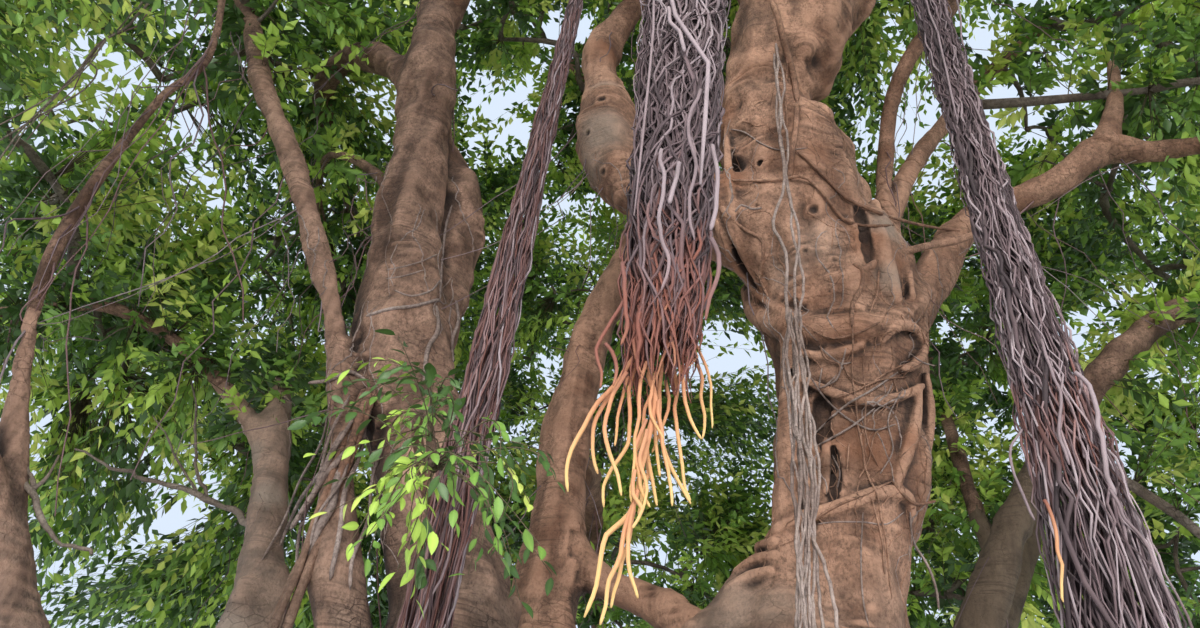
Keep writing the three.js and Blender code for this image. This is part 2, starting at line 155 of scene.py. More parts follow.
def piece(name, points, faces, finishes, stands_for, finish_of=None, values=None):
    """A smooth-shaded piece at the origin. faces is a list of arrays of point numbers, finishes a
    list of materials, finish_of the number of the material of each face, values a dictionary of
    numbers, one for each point or one for all."""
    points = np.asarray(points, np.float32).reshape(-1, 3)
    faces = [np.asarray(f, np.int32) for f in faces if len(f)]
    corners = np.concatenate([f.ravel() for f in faces])
    sizes = np.concatenate([np.full(len(f), f.shape[1], np.int32) for f in faces])
    starts = np.concatenate([[0], np.cumsum(sizes)[:-1]]).astype(np.int32)
    mesh = bpy.data.meshes.new(name)
    mesh.vertices.add(len(points))
    mesh.vertices.foreach_set("co", points.ravel())
    mesh.loops.add(len(corners))
    mesh.loops.foreach_set("vertex_index", corners)
    mesh.polygons.add(len(sizes))
    mesh.polygons.foreach_set("loop_start", starts)
    mesh.polygons.foreach_set("use_smooth", np.ones(len(sizes), bool))
    if finish_of is not None:
        mesh.polygons.foreach_set("material_index", np.asarray(finish_of, np.int32))
    for key, numbers in (values or {}).items():
        numbers = np.broadcast_to(np.asarray(numbers, np.float32).ravel(), len(points))
        mesh.attributes.new(key, "FLOAT", "POINT").data.foreach_set("value", numbers)
    for finish in finishes:
        mesh.materials.append(finish)
    mesh.update(calc_edges=True)
    made = bpy.data.objects.new(name, mesh)
    bpy.context.scene.collection.objects.link(made)
    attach(made, "root")
    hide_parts(*stands_for)
    PIECES.append(int((sizes - 2).sum()))
    print(f"{name}: {PIECES[-1]} triangles")

# %% [markdown]
# ## Finishes
# Bark, roots and leaves are procedural. Their colours and bumps are sums of noises, so a small
# class lets a socket take part in a Python sum, and one method adds every other kind of node.
# All patterns are read in the object's own coordinates, in metres, so they are as large as life.

# %% Shader helpers
class Tap:
    """A number that comes out of a node. Each operator adds the Math node that does it."""

    def __init__(self, tree, socket):
        self.tree, self.socket = tree, socket

    def math(self, operation, *values):
        node = self.tree.nodes.new("ShaderNodeMath")
        node.operation = operation
        for socket, value in zip(node.inputs, values):
            plug(self.tree, socket, value)
        return Tap(self.tree, node.outputs[0])

    def __add__(self, other):
        return self.math("ADD", self, other)

    def __radd__(self, other):
        return self.math("ADD", other, self)

    def __sub__(self, other):
        return self.math("SUBTRACT", self, other)

    def __rsub__(self, other):
        return self.math("SUBTRACT", other, self)

    def __mul__(self, other):
        return self.math("MULTIPLY", self, other)

    def __rmul__(self, other):
        return self.math("MULTIPLY", other, self)

    def between(self, low, high):
        """0 below low, 1 above high, and a straight rise from one to the other."""
        rise = self.math("MULTIPLY_ADD", self, 1 / (high - low), -low / (high - low))
        rise.socket.node.use_clamp = True
        return rise


def plug(tree, socket, value):
    """Links a tap to a socket, or sets the socket to a plain value."""
    if isinstance(value, Tap):
        tree.links.new(value.socket, socket)
    else:
        socket.default_value = value


class Finish:
    """A material whose one shader is a Principled BSDF."""

    def __init__(self, name, roughness):
        self.material = bpy.data.materials.new(name)
        self.material.use_nodes = True
        self.tree = self.material.node_tree
        self.shader = self.tree.nodes["Principled BSDF"]
        self.shader.inputs["Roughness"].default_value = roughness

    def add(self, kind, settings, inputs, output=0):
        """Adds a node: its settings first, then the values or links of its sockets."""
        node = self.tree.nodes.new(kind)
        for key, value in settings.items():
            setattr(node, key, value)
        for key, value in inputs.items():
            plug(self.tree, node.inputs[key], value)
        return Tap(self.tree, node.outputs[output])

    def place(self, stretch=(1, 1, 1)):
        """The point on the piece, in metres, with each direction multiplied by stretch."""
        spot = self.add("ShaderNodeTexCoord", {}, {}, "Object")
        if stretch == (1, 1, 1):
            return spot
        return self.add("ShaderNodeMapping", {}, {"Vector": spot, "Scale": stretch})

    def noise(self, scale, detail=2, stretch=(1, 1, 1), roughness=0.55):
        inputs = {"Vector": self.place(stretch), "Scale": scale, "Detail": detail,
                  "Roughness": roughness}
        return self.add("ShaderNodeTexNoise", {}, inputs, "Fac")

    def worn(self, key):
        """The number that the piece carries at each point under this name."""
        settings = {"attribute_name": key, "attribute_type": "GEOMETRY"}
        return self.add("ShaderNodeAttribute", settings, {}, "Fac")

    def mix(self, share, one, other):
        """The colour one, turning into the colour other as share goes from 0 to 1. Each is a tap
        or red, green and blue."""
        one, other = (c if isinstance(c, Tap) else (*c, 1.0) for c in (one, other))
        inputs = {"Factor": share, 6: one, 7: other}
        return self.add("ShaderNodeMix", {"data_type": "RGBA"}, inputs, 2)

    def wear(self, colour, height, depth):
        """Puts the colour on the shader, and the height on its normal as a bump."""
        plug(self.tree, self.shader.inputs["Base Color"], colour)
        inputs = {"Height": height, "Distance": depth, "Strength": 1.0}
        bump = self.add("ShaderNodeBump", {}, inputs, "Normal")
        plug(self.tree, self.shader.inputs["Normal"], bump)
        return self.material

# %% [markdown]
# The bark of this fig is thin and smooth, tan with a pink cast, greyer on old wood. Patches of a
# hand's size differ in tone, fine rings cross the limb in places, and there are small raised
# pores and dark rain streaks. Shade is painted into every fold and crevice, and a painted highlight
# onto ridges. One recipe serves all limbs with three base colours. Painted fold shade and
# highlights, stains, painted shade in hollows and knot holes, and warm places come from numbers
# that the wood itself carries, so they stay where the real ones are.

# %% Bark
# The first colour is painted shade for folds and crevices; the second is that of stains and of
# painted shade in hollows and knot holes
PAINTED_FOLD_SHADE, STAIN_AND_SHADE = (0.022, 0.012, 0.009), (0.035, 0.02, 0.012)
CINNAMON, BLEACHED = (0.24, 0.095, 0.045), (0.38, 0.300, 0.240)
RISE = 3.3, 4.5  # the heights between which the colours of low bark turn into those above


def bark(name, pale, warm, dark, rings=0.5, low=None):
    """Patches of the pale and the warm colour, blotches, specks, streaks down the limb, pores,
    and rings across it that show in places only. Towards the ground it turns into the two
    colours of low, where these are given."""
    finish = Finish(name, 0.85)
    patches = finish.noise(2.4, 5, roughness=0.62).between(0.42, 0.60)
    blotch = finish.noise(8, 6, (1, 1, 0.75), 0.68).between(0.40, 0.68)
    speck = finish.noise(42, 4, roughness=0.7).between(0.48, 0.72)
    streaks = finish.noise(1.0, 4, (7, 7, 0.8)).between(0.56, 0.72)
    lined = finish.noise(1.15, 2).between(0.5, 0.6)
    lines = finish.noise(1.0, 4, (2.6, 2.6, 44), 0.6)
    grain = finish.noise(1.0, 5, (95, 95, 42), 0.7)
    cells = {"Vector": finish.place((1, 1, 1.7)), "Scale": 11.0}
    cracks = finish.add("ShaderNodeTexVoronoi", {"feature": "DISTANCE_TO_EDGE"}, cells)
    cracks = (1 - cracks.between(0.0, 0.035)) * finish.noise(2.2, 3).between(0.50, 0.60)
    cells = {"Vector": finish.place((1, 1, 1.6)), "Scale": 30.0}
    pores = finish.add("ShaderNodeTexVoronoi", {}, cells).between(0.05, 0.16)
    pores = (1 - pores) * finish.noise(3.1, 2).between(0.5, 0.62)
    hollow, deep = finish.worn("hollow"), finish.worn("deep")
    colour = finish.mix(patches * 0.9, pale, warm)
    if low:
        height = finish.add("ShaderNodeSeparateXYZ", {}, {"Vector": finish.place()}, "Z")
        height = (height + finish.noise(1.5, 3)).between(*RISE)
        colour = finish.mix(height, finish.mix(patches, *low), colour)
    # The second of these colours is a painted highlight for ridges
    dull, ridge_highlight = [c * 0.4 for c in warm], [min(1, c * 1.4) for c in pale]
    for share, over in [
            (blotch * 0.7, dull), (speck * 0.68, dark), (grain.between(0.50, 0.70) * 0.6, dark),
            # painted highlight: lighter where hollow is below 0.46, on ridges and on tubes given
            # such a hollow
            (cracks * 0.7, dark), (hollow.between(0.46, 0.3) * 0.4, ridge_highlight),
            (lines.between(0.5, 0.62) * lined * 0.5, dark), (streaks * 0.45, dark),
            (finish.worn("cinnamon") * 0.75, CINNAMON), (finish.worn("bleached") * 0.75, BLEACHED),
            # the first mark: real stains, and painted shade in hollows and knot holes
            (finish.worn("stain") * (blotch * 0.5 + 0.55) * 0.9, STAIN_AND_SHADE), (pores * 0.7, dark),
            # painted shade: darker in folds, and where much wood stands round a point
            (hollow.between(0.54, 0.8) * 0.85, PAINTED_FOLD_SHADE),
            (deep.between(0.22, 0.78) * 0.92, PAINTED_FOLD_SHADE)]:
        colour = finish.mix(share, colour, over)
    height = (lines * lined * rings + blotch * 0.5 + grain * 0.22 - speck * 0.2 - pores * 0.3
              - cracks * 0.3)
    return finish.wear(colour, height, 0.016)


LOW = ((0.190, 0.139, 0.107), (0.120, 0.079, 0.057))
BARK = bark("bark_tan", (0.50, 0.285, 0.190), (0.235, 0.113, 0.067), (0.060, 0.030, 0.019), low=LOW)
# Darker copies of the tan bark with painted shade: for the stems and boughs in the crown's shade,
# and darkest for the far stem
BARK_IN_SHADE = bark("bark_in_shade", (0.450, 0.270, 0.190), (0.130, 0.066, 0.041), (0.036, 0.018, 0.012),
                low=LOW)
BARK_SHADE = bark("bark_shade", (0.155, 0.110, 0.074), (0.084, 0.053, 0.033),
                  (0.030, 0.018, 0.012))
BARK_GREY = bark("bark_grey", (0.30, 0.245, 0.20), (0.19, 0.14, 0.105), (0.06, 0.042, 0.032))
STRAND = bark("bark_strand", (0.48, 0.380, 0.340), (0.29, 0.205, 0.172), (0.09, 0.058, 0.048))
TWIG = bark("twig", (0.20, 0.15, 0.09), (0.14, 0.12, 0.06), (0.07, 0.05, 0.03), 0.2)
print("bark finishes:", len(bpy.data.materials))

# %% [markdown]
# Hanging roots are young wood without real bark: old ones from nearly black to pale violet grey,
# growing ends red, then orange, then yellow at the tip. Each root is a piece of one tone with a
# little variation along it, so tone and youth are numbers on the piece.

# %% Root finish
def root_finish():
    """Old wood from dark to pale by root, and young wood from red over orange to yellow."""
    finish = Finish("aerial_root_skin", 0.78)
    tone, young = finish.worn("tone"), finish.worn("young")
    rough = finish.noise(24, 4, (1, 1, 0.35))
    grain = finish.noise(130, 2, (1, 1, 0.3))
    colour = finish.mix(tone.between(0, 0.5), (0.040, 0.026, 0.030), (0.170, 0.115, 0.125))
    for share, over in [(tone.between(0.5, 1.0), (0.38, 0.305, 0.325)),
                        (rough.between(0.48, 0.7) * 0.4, (0.06, 0.038, 0.038)),
                        (young.between(0.08, 0.35), (0.24, 0.085, 0.06)),
                        (young.between(0.40, 0.62), (0.58, 0.27, 0.14)),
                        (young.between(0.7, 1.0), (0.76, 0.50, 0.20))]:
        colour = finish.mix(share, colour, over)
    return finish.wear(colour, rough * 0.8 + grain * 0.3, 0.003)


ROOT = root_finish()

# %% [markdown]
# ## The wood as one skin
# On the real tree stems, roots and boughs have grown into each other, so that one bark runs over
# all of them without a seam. Tubes pushed into each other would show a hard line at each joint,
# and a grid of two parameters can't fork. So the wood is a field instead: each point of a block of
# space holds its distance to the wood's surface, negative inside. Two limbs join by a smooth
# minimum of their distances, which fills the crotch as growth does. The skin is then drawn where
# the distance is nought.

# %% Limb paths
def smooth_path(rows, spacing):
    """A centripetal Catmull-Rom curve through rows of x, y, z, radius: on each span a cubic that
    starts and ends at two rows, with slopes taken from the rows on either side."""
    rows = np.asarray(rows, float)
    rows = np.vstack([2 * rows[0] - rows[1], rows, 2 * rows[-1] - rows[-2]])
    gaps = np.sqrt(np.linalg.norm(np.diff(rows[:, :3], axis=0), axis=1))
    spans = []
    for k in range(len(rows) - 3):
        p0, p1, p2, p3 = rows[k : k + 4]
        a, b, c = gaps[k : k + 3]
        start = ((p1 - p0) / a - (p2 - p0) / (a + b) + (p2 - p1) / b) * b
        end = ((p2 - p1) / b - (p3 - p1) / (b + c) + (p3 - p2) / c) * b
        steps = max(2, round(np.linalg.norm(p2[:3] - p1[:3]) / spacing))
        t = (np.arange(steps) / steps)[:, None]
        cubic = p1 * (2 * t**3 - 3 * t**2 + 1) + start * (t**3 - 2 * t**2 + t)
        spans.append(cubic + p2 * (3 * t**2 - 2 * t**3) + end * (t**3 - t**2))
    path = np.vstack(spans + [rows[-2:-1]])
    path[:, 3] = np.maximum(path[:, 3], 0.004)
    return path


def lengths(path):
    """How far along the path each of its points lies."""
    steps = np.linalg.norm(np.diff(path[:, :3], axis=0), axis=1)
    return np.concatenate([[0], np.cumsum(steps)])


def first_metres(path, length):
    """The part of a path that lies within a length from its start, thinned at its end so that it
    goes under the bark of what follows."""
    along = lengths(path)
    kept = path[along <= length].copy()
    kept[:, 3] *= 1 - 0.2 * np.clip((along[: len(kept)] - length + 0.35) / 0.35, 0, 1)
    return kept


def last_metres(path, length):
    """The rest of a path from a length on, thinned at its start in the same way."""
    along = lengths(path)
    kept = path[along >= length - 0.4].copy()
    along = along[along >= length - 0.4]
    kept[:, 3] *= 1 - 0.12 * np.clip((length - 0.2 - along) / 0.2, 0, 1)
    return kept


# Stems and boughs in metres: x, y, z and radius, as the CAD part has them
PATHS = named("""
    stem_right .7,.06,1.3,.62 .92,.02,3,.43 1,0,3.86,.345 1.13,0,4.52,.43 1.19,-.02,5.12,.48
        1.14,-.12,5.8,.545 .93,-.23,6.37,.51 .77,-.34,6.95,.49 .61,-.54,7.62,.34 .71,-.78,8.12,.46
        .79,-.95,8.5,.48;
    shoulder .06,.15,1.9,.36 .24,.14,2.95,.34 .38,.1,3.38,.25 .66,.02,3.8,.19 .9,0,4.2,.13;
    collar .56,.09,6.08,.075 .6,-.03,5.75,.085 .72,-.33,5.4,.09 .98,-.5,5.26,.09 1.31,-.53,5.38,.09
        1.58,-.43,5.76,.08 1.64,-.18,6.08,.07;
    column .74,-.3,5.3,.075 .71,-.21,4.5,.08 .65,-.17,3.75,.085 .54,-.32,2.7,.1 .48,-.48,1.8,.15;
    foot .74,-.08,3.8,.16 .66,-.14,3.4,.27 .55,-.16,2.6,.42;
    stem_left -.75,0,1.3,.45 -1.02,0,3.3,.33 -1.42,0,4.3,.3 -1.76,0,5.05,.3 -1.89,0,5.75,.26
        -2.05,-.01,6.7,.225 -2.2,-.14,7.8,.21 -2.34,-.3,8.9,.17 -2.28,-.74,11.8,.06;
    bulge -1.56,.13,5.2,.12 -1.65,.27,6.1,.19 -1.8,.3,6.85,.235 -2.06,.2,7.5,.1;
    stem_slim -.9,-.08,1.9,.24 -1.66,-.2,3.5,.13 -1.84,-.2,4.25,.088 -2.11,-.2,4.96,.078
        -2.85,-.2,6.39,.085 -3.4,-.2,7.29,.082 -4.09,-.2,8.57,.076 -5.2,0,9.6,.04;
    stem_grey -.9,.35,1.5,.4 -2.05,.56,3,.22 -2.32,.7,3.8,.13 -2.66,.9,4.87,.108 -2.95,1.3,5.6,.095
        -3.9,4.7,6,.05;
    stem_edge -1.2,-.25,1.1,.3 -2.45,-.5,2.45,.18 -2.9,-.6,3.05,.088 -3.2,-.7,3.69,.055
        -3.44,-.9,4.61,.04 -3.34,-1.1,5.83,.029 -3.18,-1.2,6.28,.027 -3.68,-3.68,9,.022;
    stem_back -.2,.7,1.9,.33 -.6,1.15,4,.215 -.62,1.2,5.3,.18 -.52,1.2,6.5,.16 -.16,1.2,8.2,.15
        -1.41,1.94,11.8,.06;
    bridge -.56,1.15,4.5,.09 -.25,1,4.13,.115 .06,.79,3.94,.11 .33,.48,3.6,.13 .45,.3,2.7,.16;
    stem_far .8,.6,1.4,.42 2.05,1.55,3.2,.265 2.93,2.15,4.75,.2 3.32,2.25,5.4,.165
        3.74,2.5,6.15,.13 3.9,4.7,5.6,.05;
    bough_elbow 1.3,-.06,5.45,.23 1.89,0,6.31,.155 2.1,0,6.74,.145 2.43,.03,7.2,.13
        3.05,-.25,7.49,.115 3.38,-.4,7.76,.122 3.72,-.5,7.68,.086 4.1,-.9,7.45,.07
        5.3,-3.05,6.3,.04;
    bough_elbow_spur 3.38,-.42,7.73,.09 3.48,-.46,7.98,.086 3.64,-.5,8.4,.07 3.79,-.5,9,.05;
    bough_pale 1.44,-.33,5.7,.12 1.51,-.26,6.45,.086 1.61,-.13,7.2,.075 1.69,-.15,7.75,.07
        1.77,-.3,8.32,.07 1.96,-.5,8.79,.066 2.3,-.7,9.3,.062 2.28,-.74,11.8,.034;
    bough_fork 1.5,.06,6.4,.12 1.84,.1,7.5,.088 2.06,.11,7.96,.08 2.7,.2,9.12,.076
        3.43,.2,10.22,.066 3.9,0,10.7,.046;
    bough_sawn .85,-.3,6.15,.34 .3,-.3,6.38,.29 -.3,-.3,6.6,.255 -.57,-.3,7,.25 -.68,-.3,7.48,.215
        -.77,-.3,7.98,.15 -.78,-.3,8.42,.168 -.64,-.38,8.88,.11 -.43,-.48,9.35,.07;
    bough_low_right 2.15,1.6,3.5,.18 3,1.15,5.5,.13 3.8,.6,6.57,.112 4.62,.6,7.1,.1 6,1.06,6.4,.05;
    bough_far_rise 3.15,2.2,5.1,.085 3.25,2.7,7,.062 3.68,3.68,9.2,.045;
    bough_back_low -.61,1.15,4.5,.13 -.4,2.6,5.9,.11 0,6.1,5.8,.05;
    bough_back_rise -.48,1.2,6.7,.115 -.3,2.3,8,.095 0,5.2,9.2,.045;
    bough_left_knuckle -2.19,-.1,7.5,.14 -2.56,-.05,8.08,.125 -3.12,.2,8.5,.11 -3.48,.7,8.62,.095
        -3.68,3.68,9.5,.045;
    bough_left_pale -1.95,.05,6.15,.06 -2.55,.42,7.2,.042 -3.23,.9,7.9,.036 -3.6,1.9,8.3,.036
        -3.68,3.68,8.7,.03;
    bough_low_left -2.6,.85,4.65,.078 -3.4,.85,5.35,.05 -4.1,.6,5.53,.044 -4.54,.5,5.3,.04
        -6,1.06,5.5,.035;
    bough_left_front -2.85,-.59,2.98,.075 -3.5,-1.1,3.9,.07 -4.3,-1.95,4.9,.07 -5.3,-3.05,6.2,.042;
    bough_front .78,-.9,8.2,.26 .6,-1.75,9.15,.2 -.37,-3.06,9.45,.15 0,-5.2,9.3,.06;
    bough_front_right .82,-1,8.3,.2 1.02,-2.29,9,.15 2.3,-3,9.3,.11 3.68,-3.68,9.3,.05;
    bough_front_left -2.31,-.25,8.65,.15 -1.9,-.8,9.35,.12 -1.35,-1.12,9.68,.115
        -.95,-1.44,9.76,.11 -.86,-1.98,9.76,.1 -1.7,-2.9,9.6,.09 -3.68,-3.68,9.5,.045;
    bough_front_low_right 1.06,-2.35,8.98,.11 1.75,-3.9,8.3,.095 2,-4.9,7.3,.07 2.1,-5.7,5.9,.04;
    bough_front_low_left -.43,-3.1,9.4,.11 -1.35,-3.9,8.5,.095 -1.9,-4.9,7.3,.07 -2.1,-5.7,5.9,.04;
    bough_up_back .8,-.82,7.95,.3 1.13,-.94,8.8,.29 1.45,-.4,9.9,.22 1.5,.7,10.8,.15
        1.41,1.94,11.8,.06;
    bough_up_front .7,-1,8.3,.22 .3,-1.5,9.9,.15 0,-2.4,11.8,.06;
    bough_up_centre .72,-.88,8.25,.26 .42,-.52,9.8,.19 .1,-.1,11.4,.12 0,0,12.9,.05;
    twig_shoots -1.18,-.15,3.7,.04 -1.25,-1,3.75,.028 -1.08,-1.75,3.4,.02 -.93,-2.12,2.95,.012""")
BOUGHS = [name for name in PATHS if name.startswith(("bough", "twig"))]
print("boughs:", len(BOUGHS))


def limb_path(name, spacing):
    return smooth_path(PATHS[name], spacing)

# %% [markdown]
# Thin limbs and single roots don't need a field. A profile carried along a path is enough: a ring
# of points at each point of the path, turned across it. Many tubes are made in one array.

# %% Tubes
def frames(path):
    """The way along each path and two ways across it. Across is the axis that lies flattest to
    the whole path, made square to the way along. path is tubes by points by three."""
    along = unit(np.gradient(path, axis=1), 1e-12)
    flattest = np.abs(along).mean(1).argmin(1)
    across = np.eye(3)[flattest][:, None] - along * np.take_along_axis(
        along, flattest[:, None, None], 2)
    across = unit(across, 1e-12)
    return along, across, np.cross(along, across)


def tubes(path, radius, sides):
    """Closed tubes with the same number of rings: each point of a ring is the path's point plus
    radius times (cos a across + sin a up). Returns points by tube, ring and side, and the faces,
    quads along the tube and a fan of triangles over each end."""
    _, across, up = frames(path)
    angle = (TURN * np.arange(sides) / sides)[:, None]
    ring = np.cos(angle) * across[:, :, None] + np.sin(angle) * up[:, :, None]
    points = path[:, :, None] + radius[:, :, None, None] * ring
    return points, tube_faces(path.shape[0], path.shape[1], sides)


def tube_faces(count, rings, sides):
    """The faces of such tubes, as numbers of points laid out by tube, ring and side."""
    number = np.arange(count * rings * sides).reshape(count, rings, sides)
    near, far = number[:, :-1], number[:, 1:]
    quads = np.stack([near, np.roll(near, -1, 2), np.roll(far, -1, 2), far], axis=3)
    k = np.arange(1, sides - 1)
    foot = np.stack([number[:, 0, [0]] + 0 * k, number[:, 0, k + 1], number[:, 0, k]], axis=2)
    tip = np.stack([number[:, -1, [0]] + 0 * k, number[:, -1, k], number[:, -1, k + 1]], axis=2)
    return quads.reshape(-1, 4), np.concatenate([foot, tip]).reshape(-1, 3)


def evenly(path, rings):
    """The path again, as points an equal distance apart."""
    along = lengths(path)
    at = np.linspace(0, along[-1], rings)
    return np.stack([np.interp(at, along, column) for column in path.T], axis=1)

# %% [markdown]
# Bark is never a plain cylinder. Its lumps and flutes come from one smooth noise, a sum of waves,
# which is read at the place in space, so that limbs that join share it.

# %% Smooth noise for relief
def ripples(points, wavelength, seed, stretch=(1, 1, 1), waves=12):
    """Seeded noise of about -1 to 1: a sum of sine waves in random directions, with wavelengths
    round the one given, measured in space divided by stretch."""
    rng = np.random.default_rng(seed)
    way = unit(rng.normal(size=(waves, 3)))
    rate = way * (TURN / wavelength * rng.uniform(0.7, 1.4, waves))[:, None] / np.array(stretch)
    phase = rng.uniform(0, TURN, waves)
    total = np.zeros(len(points), np.float32)
    for one, start in zip(rate.astype(np.float32), phase.astype(np.float32)):
        total += np.sin(points @ one + start)
    return total * math.sqrt(2 / waves)


def relief(points, thick):
    """How far the bark stands out of the plain limb, in metres: broad lumps, flutes that run up
    the limb, and shallow rings across it that come and go. Less of each on a thin limb."""
    points = np.asarray(points, np.float32)
    share = np.clip(np.asarray(thick, np.float32) / 0.32, 0.08, 1)
    lumps = 0.022 * ripples(points, 0.85, 1) + 0.010 * ripples(points, 0.3, 2)
    flutes = 0.011 * ripples(points, 0.26, 3, (1, 1, 5))
    rings = np.abs(ripples(points, 0.085, 4, (5, 5, 1), 8))
    some = np.clip(ripples(points, 0.7, 5) * 0.8 + 0.35, 0, 1)
    return (lumps + flutes) * share + 0.007 * (rings - 0.6) * some * np.sqrt(share)

# %% Blocks of wood
FAR = 9.0
COARSE = 3  # how many small steps of a block make one of the steps at which limbs are worked out


class Block:
    """A block of space that holds at each of its points the distance to the wood's surface."""

    def __init__(self, low, high, step):
        self.step, self.low = step, np.array(low, float)
        self.shape = np.ceil((np.array(high) - self.low) / step / COARSE).astype(int) + 1
        self.distance = np.full(self.shape, FAR, np.float32)
        self.thick = np.full(self.shape, 0.02, np.float32)  # the radius of the nearest limb
        self.pitch = step * COARSE
        self.fade = 1.0  # what the blends are multiplied by, one number or one for each height

    def axes(self, start, stop):
        """The x, y and z of the points from start to stop, shaped to spread over a block."""
        spans = [(self.low[k] + self.pitch * np.arange(start[k], stop[k])).astype(np.float32)
                 for k in range(3)]
        return spans[0][:, None, None], spans[1][None, :, None], spans[2][None, None, :]

    def window(self, low, high):
        """The numbers of the first points and the ones after the last inside two corners."""
        shape = np.array(self.distance.shape)
        start = np.clip(np.floor((low - self.low) / self.pitch).astype(int), 0, shape)
        stop = np.clip(np.ceil((high - self.low) / self.pitch).astype(int) + 1, 0, shape)
        return start, np.maximum(stop, start)

    def join(self, start, stop, near, blend):
        """The smooth minimum: where two distances differ by less than blend, the result is lower
        than both, by up to a quarter of blend, so the surfaces meet in a fillet."""
        part = tuple(slice(a, b) for a, b in zip(start, stop))
        old = self.distance[part]
        if np.size(self.fade) > 1:
            blend = blend * self.fade[part[2]]
        share = np.clip(0.5 + 0.5 * (old - near) / blend, 0, 1)
        self.distance[part] = old * (1 - share) + near * share - blend * share * (1 - share)

    def limb(self, path, blend):
        """Joins a limb: the least distance to its cones, each a line between two points of the
        path with a radius that goes evenly from one point's to the other's."""
        path = np.asarray(path, np.float32)
        room = path[:, 3].max() + 2 * blend + 2 * self.pitch
        start, stop = self.window(path[:, :3].min(0) - room, path[:, :3].max(0) + room)
        if (stop - start).min() < 2:
            return
        near = np.full(stop - start, FAR, np.float32)
        thick = np.full(stop - start, 0.02, np.float32)
        for a, b in zip(path[:-1], path[1:]):
            reach = max(a[3], b[3]) + 2 * blend + 2 * self.pitch
            low, high = np.minimum(a, b)[:3] - reach, np.maximum(a, b)[:3] + reach
            first, last = self.window(low, high)
            first, last = np.maximum(first, start), np.minimum(last, stop)
            if (last - first).min() < 1:
                continue
            x, y, z = self.axes(first, last)
            line, long = b[:3] - a[:3], float(((b - a)[:3] ** 2).sum()) + 1e-9
            x, y, z = x - a[0], y - a[1], z - a[2]
            t = np.clip((x * line[0] + y * line[1] + z * line[2]) / long, 0, 1)
            apart = (x - t * line[0]) ** 2 + (y - t * line[1]) ** 2 + (z - t * line[2]) ** 2
            radius = a[3] + t * (b[3] - a[3])
            cone = np.sqrt(apart) - radius
            part = tuple(slice(p, q) for p, q in zip(first - start, last - start))
            thick[part] = np.where(cone < near[part], radius, thick[part])
            near[part] = np.minimum(near[part], cone)
        if self.thick.shape == self.distance.shape:
            part = tuple(slice(p, q) for p, q in zip(start, stop))
            self.thick[part] = np.where(near < self.distance[part], thick, self.thick[part])
        self.join(start, stop, near, blend)

    def refine(self):
        """Goes over to the small step: each new distance is the straight blend of its two
        neighbours, along one direction after another."""
        for axis in range(3):
            size = self.distance.shape[axis]
            at = np.arange((size - 1) * COARSE + 1) / COARSE
            first = np.minimum(at.astype(int), size - 2)
            share = (at - first).astype(np.float32)
            share = share.reshape([-1 if k == axis else 1 for k in range(3)])
            one = np.take(self.distance, first, axis)
            one += (np.take(self.distance, first + 1, axis) - one) * share
            self.distance = one
        self.pitch = self.step

    def emboss(self, depth=0.14, strength=1.0):
        """Takes off the distance how far bark stands out, where the surface is near."""
        near = np.nonzero(np.abs(self.distance) < depth)
        points = (self.low + self.pitch * np.stack(near, axis=1)).astype(np.float32)
        thick = self.thick[tuple(number // COARSE for number in near)]
        self.distance[near] -= strength * relief(points, thick)

    def sphere(self, centre, radius, blend):
        """Joins a ball."""
        room = radius + 3 * blend + 2 * self.pitch
        start, stop = self.window(centre - room, centre + room)
        x, y, z = self.axes(start, stop)
        ball = np.sqrt((x - centre[0]) ** 2 + (y - centre[1]) ** 2 + (z - centre[2]) ** 2) - radius
        self.join(start, stop, ball.astype(np.float32), blend)

    def carve(self, join, *what):
        """Takes a shape away by the smooth rule that joins it, with the signs turned."""
        self.distance *= -1
        join(*what)
        self.distance *= -1

    def at(self, points):
        """The distance at any places: the straight blend of the block's eight points round each.
        Far outside the block."""
        spot = (points - self.low) / self.pitch
        last = np.array(self.distance.shape) - 1
        held = ((spot >= 0) & (spot <= last)).all(axis=1)
        spot = np.clip(spot, 0, last - 0.001)
        first = spot.astype(int)
        share = spot - first
        total = np.zeros(len(spot))
        for corner in np.ndindex(2, 2, 2):
            weight = np.where(corner, share, 1 - share).prod(axis=1)
            total += weight * self.distance[tuple((first + corner).T)]
        return np.where(held, total, FAR)

    def out(self, points):
        """The way out of the wood at places near its surface, one long."""
        reach = 1.5 * self.pitch
        slope = np.stack([self.at(points + reach * axis) - self.at(points - reach * axis)
                          for axis in np.eye(3)], axis=1)
        return unit(slope, 1e-9)

    def seen(self, px, py, nearest=2.0):
        """The place on the wood that a pixel of the photograph shows, and the way out of it."""
        along = np.arange(nearest, 11, 0.012)[:, None]
        line = EYE + along * sight(px, py)
        value = self.at(line)
        inside = np.nonzero(value < 0)[0]
        if not len(inside) or inside[0] == 0:
            return None
        k = inside[0]
        spot = line[k] + (line[k - 1] - line[k]) * value[k] / (value[k] - value[k - 1])
        return spot, self.out(spot[None])[0]

    def marks(self, listed):
        """Marks at pixels as marks on the wood: kind, place, radius and strength."""
        seen = [(kind, self.seen(px, py), radius, strength)
                for kind, rows in listed.items() for px, py, radius, strength in rows]
        return [(kind, hit[0], radius, strength) for kind, hit, radius, strength in seen if hit]

    def close(self, bottom, top):
        """Ends the wood at flat cuts, and at the block's own sides."""
        z = self.axes((0, 0, 0), self.distance.shape)[2]
        np.maximum(self.distance, bottom - z, out=self.distance)
        np.maximum(self.distance, z - top, out=self.distance)
        for axis in range(3):
            for end in (0, -1):
                side = [slice(None)] * 3
                side[axis] = end
                self.distance[tuple(side)] = np.maximum(self.distance[tuple(side)], self.pitch)

